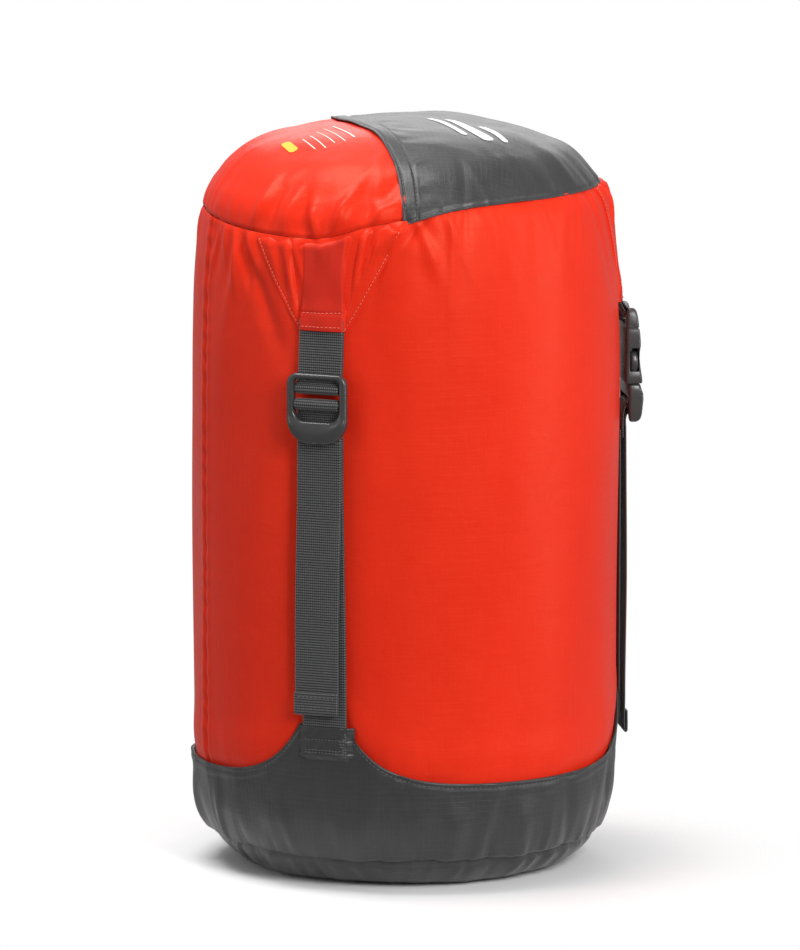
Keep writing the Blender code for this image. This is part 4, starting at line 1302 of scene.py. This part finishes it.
def makeLoad():
    # a stuffed sleeping bag, folded in long quilted channels
    line, along = smoothPath(load["shape"], 0.0022)
    angle = np.linspace(0, 2 * math.pi, load["columns"], endpoint=False)[None, :]
    ahead = np.gradient(line, axis=0)
    ahead /= np.linalg.norm(ahead, axis=1)[:, None]
    quilt = np.abs(np.sin(math.pi * along / load["channel"]))[:, None] ** 0.6
    fold = 0.0007 * waves(angle, along[:, None], 71, 12, 6, 30)
    fade = np.minimum(line[:, 0] / 0.02, 1)[:, None]
    inset = load["channelDepth"] * (1 - quilt) * fade + 0.0008 - np.clip(fold, -0.0008, 0.0008) * fade
    radius = np.maximum(line[:, :1] + ahead[:, 1:] * inset, 0.0)
    height = line[:, 1:] - ahead[:, :1] * inset * np.sign(ahead[:, :1] + 1e-9)
    height = np.clip(np.broadcast_to(height, np.broadcast(height, angle).shape), 0.0024, 0.3880)
    radius = radius * np.ones(angle.shape)
    points = np.stack([radius * np.cos(angle), radius * np.sin(angle), height], axis=-1)[1:-1]
    rows, columns = points.shape[:2]
    faces = gridFaces(rows, columns, True).tolist()
    top, bottom = rows * columns, rows * columns + 1
    last = (rows - 1) * columns
    for column in range(columns):
        after = (column + 1) % columns
        faces.append([after, column, top])
        faces.append([last + column, last + after, bottom])
    vertices = np.concatenate([points.reshape(-1, 3), [[0, 0, points[0, 0, 2]], [0, 0, points[-1, 0, 2]]]])
    turned = np.broadcast_to(angle * 0.11, points.shape[:2])
    weave = np.zeros((rows * columns + 2, 3))
    weave[:-2, 0] = turned.ravel()
    weave[:-2, 1] = np.broadcast_to(along[1:-1, None], points.shape[:2]).ravel()
    piece = makePiece("packedBag", vertices, faces, loadCloth, weave)
    turnFacesOut(piece)
    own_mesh(piece)
    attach(piece, "base")
    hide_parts("packed_contents")


loadLook = dict(
    greyLook, dark=(0.010, 0.018, 0.040, 1), light=(0.022, 0.036, 0.075, 1), thread=(0.05, 0.07, 0.12, 1)
)
loadCloth = clothMaterial("packed_load", loadLook)


def cordMaterial():
    material, graph = newMaterial("drawcord", {"Sheen Weight": 0.2, "Specular IOR Level": 0.35})
    x, y, z = graph.parts(graph.place())
    turn = graph.add("ShaderNodeMath", {"operation": "ARCTAN2"}, [y, x - mouth["middleX"]])
    braid = graph.wave(turn + z * 90, 0.09) * graph.wave(turn - z * 90, 0.09)
    fleck = graph.noise(graph.place(), 1500.0, 2.0)
    cordDark, cordLight = (0.012, 0.012, 0.013, 1), (0.075, 0.075, 0.078, 1)
    finish(graph, {
        "Base Color": graph.mix(braid * 0.7 + fleck * 0.3, cordDark, cordLight),
        "Roughness": graph.clamp(fleck * 0.2 + 0.6),
        "Normal": graph.bump(braid, 0.0003),
    })
    return material


def dressNodes():
    # CAD pieces whose shape is right keep it, and take a finished material
    cord = cordMaterial()
    finishes = {"mouth_drawcord": cord, "drawcord_eyelet": bucklePlastic}
    for node, material in finishes.items():
        slots = bpy.data.objects[node].material_slots
        for place in slots:
            place.material = material


# Plain printed marks on the lid, with no lettering
marks = {
    "lines": [
        {"from": (-0.0330, -0.0460), "to": (-0.0400, -0.0080), "width": 0.0010},
        {"from": (-0.0385, -0.0490), "to": (-0.0455, -0.0120), "width": 0.0006},
        {"from": (-0.0440, -0.0480), "to": (-0.0500, -0.0180), "width": 0.0006},
        {"from": (-0.0495, -0.0510), "to": (-0.0545, -0.0240), "width": 0.0006},
        {"from": (-0.0550, -0.0480), "to": (-0.0590, -0.0270), "width": 0.0006},
    ],
    "badge": {"from": (-0.0655, -0.0400), "to": (-0.0685, -0.0230), "width": 0.0052},
    "bars": [
        {"from": (0.0120, -0.0060), "to": (0.0260, -0.0480), "width": 0.0036},
        {"from": (0.0220, -0.0080), "to": (0.0380, -0.0560), "width": 0.0062},
        {"from": (0.0370, -0.0240), "to": (0.0470, -0.0540), "width": 0.0036},
    ],
    "rise": 0.00028, "step": 0.0006,
}


def markMaterial(name, color, bright):
    material, graph = newMaterial(name, {"Specular IOR Level": 0.4})
    wear = graph.noise(graph.place(), 900.0, 3.0, 0.6)
    u, v, _ = graph.parts(graph.weave())
    threads = graph.wave(u, 0.0009) * graph.wave(v, 0.0009)
    finish(graph, {
        "Base Color": graph.mix(wear, color, bright),
        "Roughness": graph.clamp(wear * 0.2 + 0.45),
        "Normal": graph.bump(threads, 0.00006),
    })
    return material


def printedBar(mark, onRed):
    # a rounded bar that lies on the cloth between two places of the laid-out lid
    start, end = np.array(mark["from"]), np.array(mark["to"])
    ahead = (end - start) / np.linalg.norm(end - start)
    aside = np.array([-ahead[1], ahead[0]])
    length, half = np.linalg.norm(end - start), mark["width"] / 2
    columns, rows = int(length / marks["step"]), int(mark["width"] / marks["step"]) + 4
    along = np.linspace(0, length, columns)[None, :]
    fromEnd = np.minimum(along, length - along)
    rounded = half * np.sqrt(np.clip(1 - (1 - np.clip(fromEnd / half, 0.12, 1)) ** 2, 0, 1))
    across = np.linspace(-1, 1, rows)[:, None] * rounded
    x = start[0] + ahead[0] * along + aside[0] * across
    y = start[1] + ahead[1] * along + aside[1] * across
    if onRed:
        lift = redLidLift(x, y)
    else:
        edgeHereX, _ = laidOut(edgeX(y), y)
        lift = flapLift(x, y, np.maximum(x - edgeHereX, 0), flapInward(x, y))
    return onLid(x, y, lift + marks["rise"]), x, y


def makeMarks():
    pale = markMaterial("pale_print", (0.80, 0.62, 0.55, 1), (0.92, 0.80, 0.74, 1))
    yellow = markMaterial("yellow_print", (0.75, 0.42, 0.02, 1), (0.90, 0.55, 0.05, 1))
    white = markMaterial("white_print", (0.74, 0.74, 0.74, 1), (0.86, 0.86, 0.86, 1))
    groups = [
        ("lidLines", marks["lines"], pale, True), ("lidBadge", [marks["badge"]], yellow, True),
        ("flapBars", marks["bars"], white, False)
    ]
    for name, group, material, onRed in groups:
        vertices, faces, weave = [], [], []
        for mark in group:
            points, x, y = printedBar(mark, onRed)
            faces += (gridFaces(*points.shape[:2]) + len(vertices)).tolist()
            vertices += points.reshape(-1, 3).tolist()
            weave += np.stack([x.ravel(), y.ravel(), np.zeros(x.size)], axis=1).tolist()
        piece = makePiece(name, vertices, faces, material, weave)
        if onRed:
            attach(piece, "lid")
        else:
            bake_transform(piece)


print("making the mouth, the load and the marks")
makeMouth()
makeLoad()
dressNodes()
makeMarks()


# Buckles: a ladder lock is one moulded ring round a window, with two bars across it
lock = {
    "half": 0.0169, "low": 0.2418, "high": 0.2793, "topCorner": 0.0056, "lowCorner": 0.0130,
    "windowHalf": 0.0129, "windowLow": 0.2540, "windowHigh": 0.2765, "windowTop": 0.0024,
    "windowFoot": 0.0062,
    "middle": 0.2640, "back": 0.1191, "front": 0.1229, "lip": 0.0021, "edge": 0.00115, "columns": 180,
}


def roundedReach(half, low, high, topCorner, lowCorner, turns):
    # how far rays from the window's middle run to an upright rounded outline
    corners = [
        (half - topCorner, high - topCorner, topCorner, 0),
        (topCorner - half, high - topCorner, topCorner, 90),
        (lowCorner - half, low + lowCorner, lowCorner, 180),
        (half - lowCorner, low + lowCorner, lowCorner, 270),
    ]
    line = []
    for across, height, radius, start in corners:
        line += arcPath((across, height - lock["middle"]), radius, start, start + 90, 40)
    line = np.array(line + line[:1])
    along = np.concatenate([[0], np.cumsum(np.linalg.norm(np.diff(line, axis=0), axis=1))])
    place = np.linspace(0, along[-1], 4001)[:-1]
    x, z = np.interp(place, along, line[:, 0]), np.interp(place, along, line[:, 1])
    return np.interp(turns, np.arctan2(z, x), np.hypot(x, z), period=2 * math.pi)


def solidBar(centre, radius, half):
    # a plain round bar across a buckle, with its faces
    turns = np.linspace(0, 2 * math.pi, 20, endpoint=False)
    out, up = centre[0] + radius * np.cos(turns), centre[1] + radius * np.sin(turns)
    rings = [np.stack([out, np.full(20, across), up], axis=1) for across in (-half, half)]
    faces = gridFaces(2, 20, True).tolist() + [list(range(20))[::-1], list(range(20, 40))]
    return np.concatenate(rings), faces


def joined(parts):
    vertices, faces = [], []
    for points, corners in parts:
        faces += [[index + len(vertices) for index in corner] for corner in corners]
        vertices += points.reshape(-1, 3).tolist()
    return np.array(vertices), faces


def toStrap(strap, points):
    return np.array([inStrapPlane(strap, point) for point in points])


def makeLadderLock(strap):
    turns = np.linspace(-math.pi, math.pi, lock["columns"], endpoint=False)
    outer = roundedReach(
        lock["half"], lock["low"], lock["high"], lock["topCorner"], lock["lowCorner"], turns
    )
    inner = roundedReach(
        lock["windowHalf"], lock["windowLow"], lock["windowHigh"], lock["windowTop"], lock["windowFoot"],
        turns
    )
    wide, edge = outer - inner, lock["edge"]
    near = [share * edge * np.ones(wide.shape) for share in (0, 0.05, 0.2, 0.5, 1.0)]
    middle = [edge + (wide - 2 * edge) * share for share in (0.2, 0.4, 0.6, 0.8)]
    gaps = near + middle + [wide - gap for gap in near[::-1]]
    rows = []
    for gap in gaps:
        fromRim = np.minimum(np.minimum(gap, wide - gap) / edge, 1)
        drop = edge * (1 - np.sqrt(np.clip(1 - (1 - fromRim) ** 2, 0, 1)))
        reach = inner + gap
        height = lock["middle"] + reach * np.sin(turns)
        lowness = ramp(lock["windowLow"] + 0.0030 - height, 0, 0.0048)
        share = gap / wide
        lip = np.sin(math.pi * np.clip(share * 0.9 + 0.05, 0, 1)) ** 0.7 - 0.35
        swell = 0.00035 * np.sin(math.pi * share) + lock["lip"] * lowness * lip
        rows.append(np.stack([lock["front"] + swell - drop, reach * np.cos(turns), height], axis=1))
    for gap, rise in ((wide, 0.0004), (wide - 0.0004, 0.0), (0.0004, 0.0), (0.0, 0.0004)):
        reach = inner + gap
        out, up = lock["back"] + rise + 0 * wide, lock["middle"] + reach * np.sin(turns)
        rows.append(np.stack([out, reach * np.cos(turns), up], axis=1))
    ring = np.array(rows)
    count = ring.shape[0] * ring.shape[1]
    faces = (gridFaces(ring.shape[0] + 1, ring.shape[1], True) % count).tolist()
    parts = [(ring, faces)]
    for bar in ("ladderBar", "gripBar"):
        parts.append(solidBar(strapLines[bar], strapLines[bar + "Radius"], lock["windowHalf"] + 0.001))
    vertices, faces = joined(parts)
    piece = makePiece("ladderLock" + strap.capitalize(), toStrap(strap, vertices), faces, bucklePlastic)
    turnFacesOut(piece)
    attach(piece, bodyOf[strap][1])
    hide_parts("ladder_lock_" + strap)


# The side-release buckle's halves, as height, back, front and half-width from top to bottom
release = {
    "socket": [
        (0.2982, 0.1192, 0.1214, 0.0140), (0.2978, 0.1186, 0.1224, 0.0150),
        (0.2966, 0.1181, 0.1233, 0.0160), (0.2940, 0.1178, 0.1240, 0.0166),
        (0.2905, 0.1177, 0.1245, 0.0168), (0.2880, 0.1176, 0.1247, 0.0169),
        (0.2877, 0.1178, 0.1243, 0.0165), (0.2871, 0.1178, 0.1243, 0.0165),
        (0.2868, 0.1176, 0.1249, 0.0169), (0.2840, 0.1175, 0.1253, 0.0170),
        (0.2800, 0.1175, 0.1256, 0.0170), (0.2775, 0.1175, 0.1256, 0.0169),
        (0.2745, 0.1175, 0.1251, 0.0167), (0.2710, 0.1174, 0.1250, 0.0166),
        (0.2670, 0.1173, 0.1254, 0.0167), (0.2640, 0.1172, 0.1258, 0.0169),
        (0.2610, 0.1172, 0.1263, 0.0171), (0.2585, 0.1172, 0.1265, 0.0171),
        (0.2576, 0.1174, 0.1262, 0.0169),
    ],
    "plug": [
        (0.2571, 0.1196, 0.1250, 0.0158), (0.2566, 0.1192, 0.1255, 0.0163),
        (0.2556, 0.1190, 0.1258, 0.0166), (0.2540, 0.1190, 0.1262, 0.0168),
        (0.2520, 0.1190, 0.1270, 0.0168), (0.2490, 0.1190, 0.1272, 0.0168),
        (0.2450, 0.1190, 0.1268, 0.0167), (0.2410, 0.1191, 0.1264, 0.0165),
        (0.2385, 0.1193, 0.1258, 0.0161), (0.2371, 0.1197, 0.1249, 0.0153),
        (0.2364, 0.1204, 0.1238, 0.0142),
    ],
    "prong": [
        (0.2745, 0.1212, 0.1232, 0.0004), (0.2742, 0.1206, 0.1237, 0.0014),
        (0.2730, 0.1202, 0.1241, 0.0025), (0.2705, 0.1201, 0.1243, 0.0033),
        (0.2670, 0.1201, 0.1243, 0.0034), (0.2630, 0.1201, 0.1243, 0.0024),
        (0.2590, 0.1202, 0.1242, 0.0017), (0.2560, 0.1203, 0.1241, 0.0016),
        (0.2536, 0.1204, 0.1240, 0.0015),
    ],
}


def upright(sections, middleY=0.0, corner=0.0016, arc=7):
    # a moulded body through rounded sections that stand one below another
    rings = []
    for height, back, front, half in sections:
        radius = min(corner, half * 0.9, (front - back) * 0.45)
        ring = []
        places = ((front, half), (back, half), (back, -half), (front, -half))
        for start, (out, across) in zip((0, 90, 180, 270), places):
            centreOut = out - radius * math.copysign(1, out - (front + back) / 2)
            centre = (centreOut, across - radius * math.copysign(1, across))
            for place in arcPath(centre, radius, start, start + 90, arc):
                ring.append((place[0], place[1] + middleY, height))
        rings.append(ring)
    points = np.array(rings)
    rows, columns = points.shape[:2]
    faces = gridFaces(rows, columns, True).tolist()
    faces += [list(range(columns))[::-1], [(rows - 1) * columns + column for column in range(columns)]]
    return points, faces


def hollowed(piece, cutters, bevel):
    # boxes, as two corners in the strap's plane, are cut out and the edges left are softened
    for low, high in cutters:
        size = np.array(high) - np.array(low)
        corners = np.array([[x, y, z] for x in (0, 1) for y in (0, 1) for z in (0, 1)])
        corners = corners * size + np.array(low)
        faces = [[0, 1, 3, 2], [4, 6, 7, 5], [0, 4, 5, 1], [2, 3, 7, 6], [0, 2, 6, 4], [1, 5, 7, 3]]
        cutter = makePiece("cutter", corners, faces, bucklePlastic)
        cut = piece.modifiers.new("cut", "BOOLEAN")
        cut.operation, cut.solver, cut.object = "DIFFERENCE", "EXACT", cutter
        applied(piece)
        bpy.data.objects.remove(cutter)
    soften = piece.modifiers.new("soften", "BEVEL")
    soften.width, soften.segments = bevel, 2
    soften.limit_method, soften.angle_limit = "ANGLE", math.radians(48)
    applied(piece)
    piece.data.set_sharp_from_angle(angle=math.radians(50))


def applied(piece):
    bpy.context.view_layer.update()
    mesh = bpy.data.meshes.new_from_object(piece.evaluated_get(bpy.context.evaluated_depsgraph_get()))
    piece.modifiers.clear()
    piece.data = mesh


def makeReleaseBuckle():
    socketBody = makePiece("buckleSocket", *upright(release["socket"]), bucklePlastic)
    turnFacesOut(socketBody)
    hollowed(socketBody, [
        ((0.1100, -0.0131, 0.2885), (0.1300, 0.0131, 0.3000)),
        ((0.1196, -0.0300, 0.2640), (0.1247, 0.0300, 0.2768)),
        ((0.1192, -0.0150, 0.2500), (0.1247, 0.0150, 0.2800)),
    ], 0.00035)
    points, faces = solidBar(strapLines["socketBar"], strapLines["socketBarRadius"], 0.0138)
    bar = makePiece("socketBar", points, faces, bucklePlastic)
    for piece in (socketBody, bar):
        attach(piece, "release_socket")
    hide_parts("buckle_socket")

    plugBody = makePiece("bucklePlug", *upright(release["plug"]), bucklePlastic)
    turnFacesOut(plugBody)
    hollowed(plugBody, [((0.1100, -0.0132, 0.2300), (0.1250, 0.0132, 0.2500))], 0.00035)
    points, faces = solidBar(strapLines["plugBar"], strapLines["gripBarRadius"], 0.0140)
    bar = makePiece("plugBar", points, faces, bucklePlastic)
    tongue = makePiece(
        "plugTongue",
        *upright([(0.2680, 0.1200, 0.1238, 0.0040), (0.2540, 0.1198, 0.1240, 0.0052)], corner=0.0008),
        bucklePlastic
    )
    turnFacesOut(tongue)
    for piece in (plugBody, bar, tongue):
        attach(piece, "release_plug")
    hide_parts("buckle_plug")

    for side, body in ((1, "left"), (-1, "right")):
        sections = release["prong"]
        points, faces = upright(sections, 0.0, 0.0015)
        heights, lean = [0.2536, 0.2600, 0.2670, 0.2745], [0.0102, 0.0112, 0.0131, 0.0128]
        points[..., 1] += side * np.interp(points[..., 2], heights, lean)
        prong = makePiece("plugProng" + body.capitalize(), points, faces, bucklePlastic)
        turnFacesOut(prong)
        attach(prong, "prong_" + body)
        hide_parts("plug_prong_" + body)


print("making the buckles")
makeLadderLock("front")
makeLadderLock("rear")
makeReleaseBuckle()


# Camera and light
shot = {
    "aim": 0.2078, "aside": -0.0027, "distance": 5.5, "lensPerMetre": 70.5,
    "azimuth": math.radians(-97.5), "elevation": math.radians(9.0),
}


def aimAt(thing, target):
    away = Vector(target) - thing.location
    thing.rotation_euler = away.to_track_quat("-Z", "Y").to_euler()


def makeCamera():
    data = bpy.data.cameras.new("camera")
    data.sensor_width = 36
    data.lens = shot["lensPerMetre"] * shot["distance"]
    camera = bpy.data.objects.new("camera", data)
    bpy.context.scene.collection.objects.link(camera)
    turn = shot["azimuth"]
    right = Vector((-math.sin(turn), math.cos(turn), 0))
    target = Vector((0, 0, shot["aim"])) + right * shot["aside"]
    level = math.cos(shot["elevation"])
    toward = Vector((level * math.cos(turn), level * math.sin(turn), math.sin(shot["elevation"])))
    camera.location = target + toward * shot["distance"]
    aimAt(camera, target)
    bpy.context.scene.camera = camera


lights = [
    {"name": "overheadBox", "place": (-0.35, 0.05, 1.5), "size": (0.7, 0.8), "power": 17.0},
    {"name": "frontBox", "place": (0.62, -1.55, 1.00), "size": (0.5, 0.9), "power": 23.0},
    {"name": "rightStrip", "place": (1.60, -0.55, 0.45), "size": (0.30, 1.1), "power": 8.0},
    {"name": "leftFill", "place": (-1.7, -0.5, 0.6), "size": (0.6, 1.2), "power": 3.2},
    {"name": "backFill", "place": (0.3, 1.6, 1.1), "size": (1.0, 1.0), "power": 7.0},
]


def makeLights():
    for light in lights:
        data = bpy.data.lights.new(light["name"], "AREA")
        data.shape = "RECTANGLE"
        data.size, data.size_y = light["size"]
        data.energy = light["power"]
        lamp = bpy.data.objects.new(light["name"], data)
        lamp.location = light["place"]
        bpy.context.scene.collection.objects.link(lamp)
        aimAt(lamp, (0, 0, 0.22))


def makeSurroundings():
    world = bpy.data.worlds.new("studio")
    bpy.context.scene.world = world
    world.use_nodes = True
    tree = world.node_tree
    ground = tree.nodes["Background"]
    ground.inputs["Color"].default_value = (1, 1, 1, 1)
    ground.inputs["Strength"].default_value = 0.33
    seen = tree.nodes.new("ShaderNodeBackground")
    seen.inputs["Color"].default_value = (1, 1, 1, 1)
    seen.inputs["Strength"].default_value = 1.0
    path = tree.nodes.new("ShaderNodeLightPath")
    mix = tree.nodes.new("ShaderNodeMixShader")
    tree.links.new(path.outputs["Is Camera Ray"], mix.inputs[0])
    tree.links.new(ground.outputs[0], mix.inputs[1])
    tree.links.new(seen.outputs[0], mix.inputs[2])
    tree.links.new(mix.outputs[0], tree.nodes["World Output"].inputs["Surface"])

    material, graph = newMaterial("pale_floor", {"Specular IOR Level": 0.2})
    speckle = graph.noise(graph.place(), 35.0, 3.0)
    x, y, _ = graph.parts(graph.place())
    out = (x * x + y * y) ** 0.5
    finish(graph, {
        "Base Color": graph.mix(speckle, (0.93, 0.93, 0.93, 1), (0.96, 0.96, 0.96, 1)),
        "Roughness": graph.clamp(speckle * 0.1 + 0.75),
        "Alpha": 1 - graph.step(out, 0.10, 0.24),
    })
    turns = np.linspace(0, 2 * math.pi, 96, endpoint=False)
    ring = np.stack([1.5 * np.cos(turns), 1.5 * np.sin(turns), np.full(96, -0.0003)], axis=1)
    floor = makePiece("floor", ring, [list(range(96))], material)


makeCamera()
makeLights()
makeSurroundings()
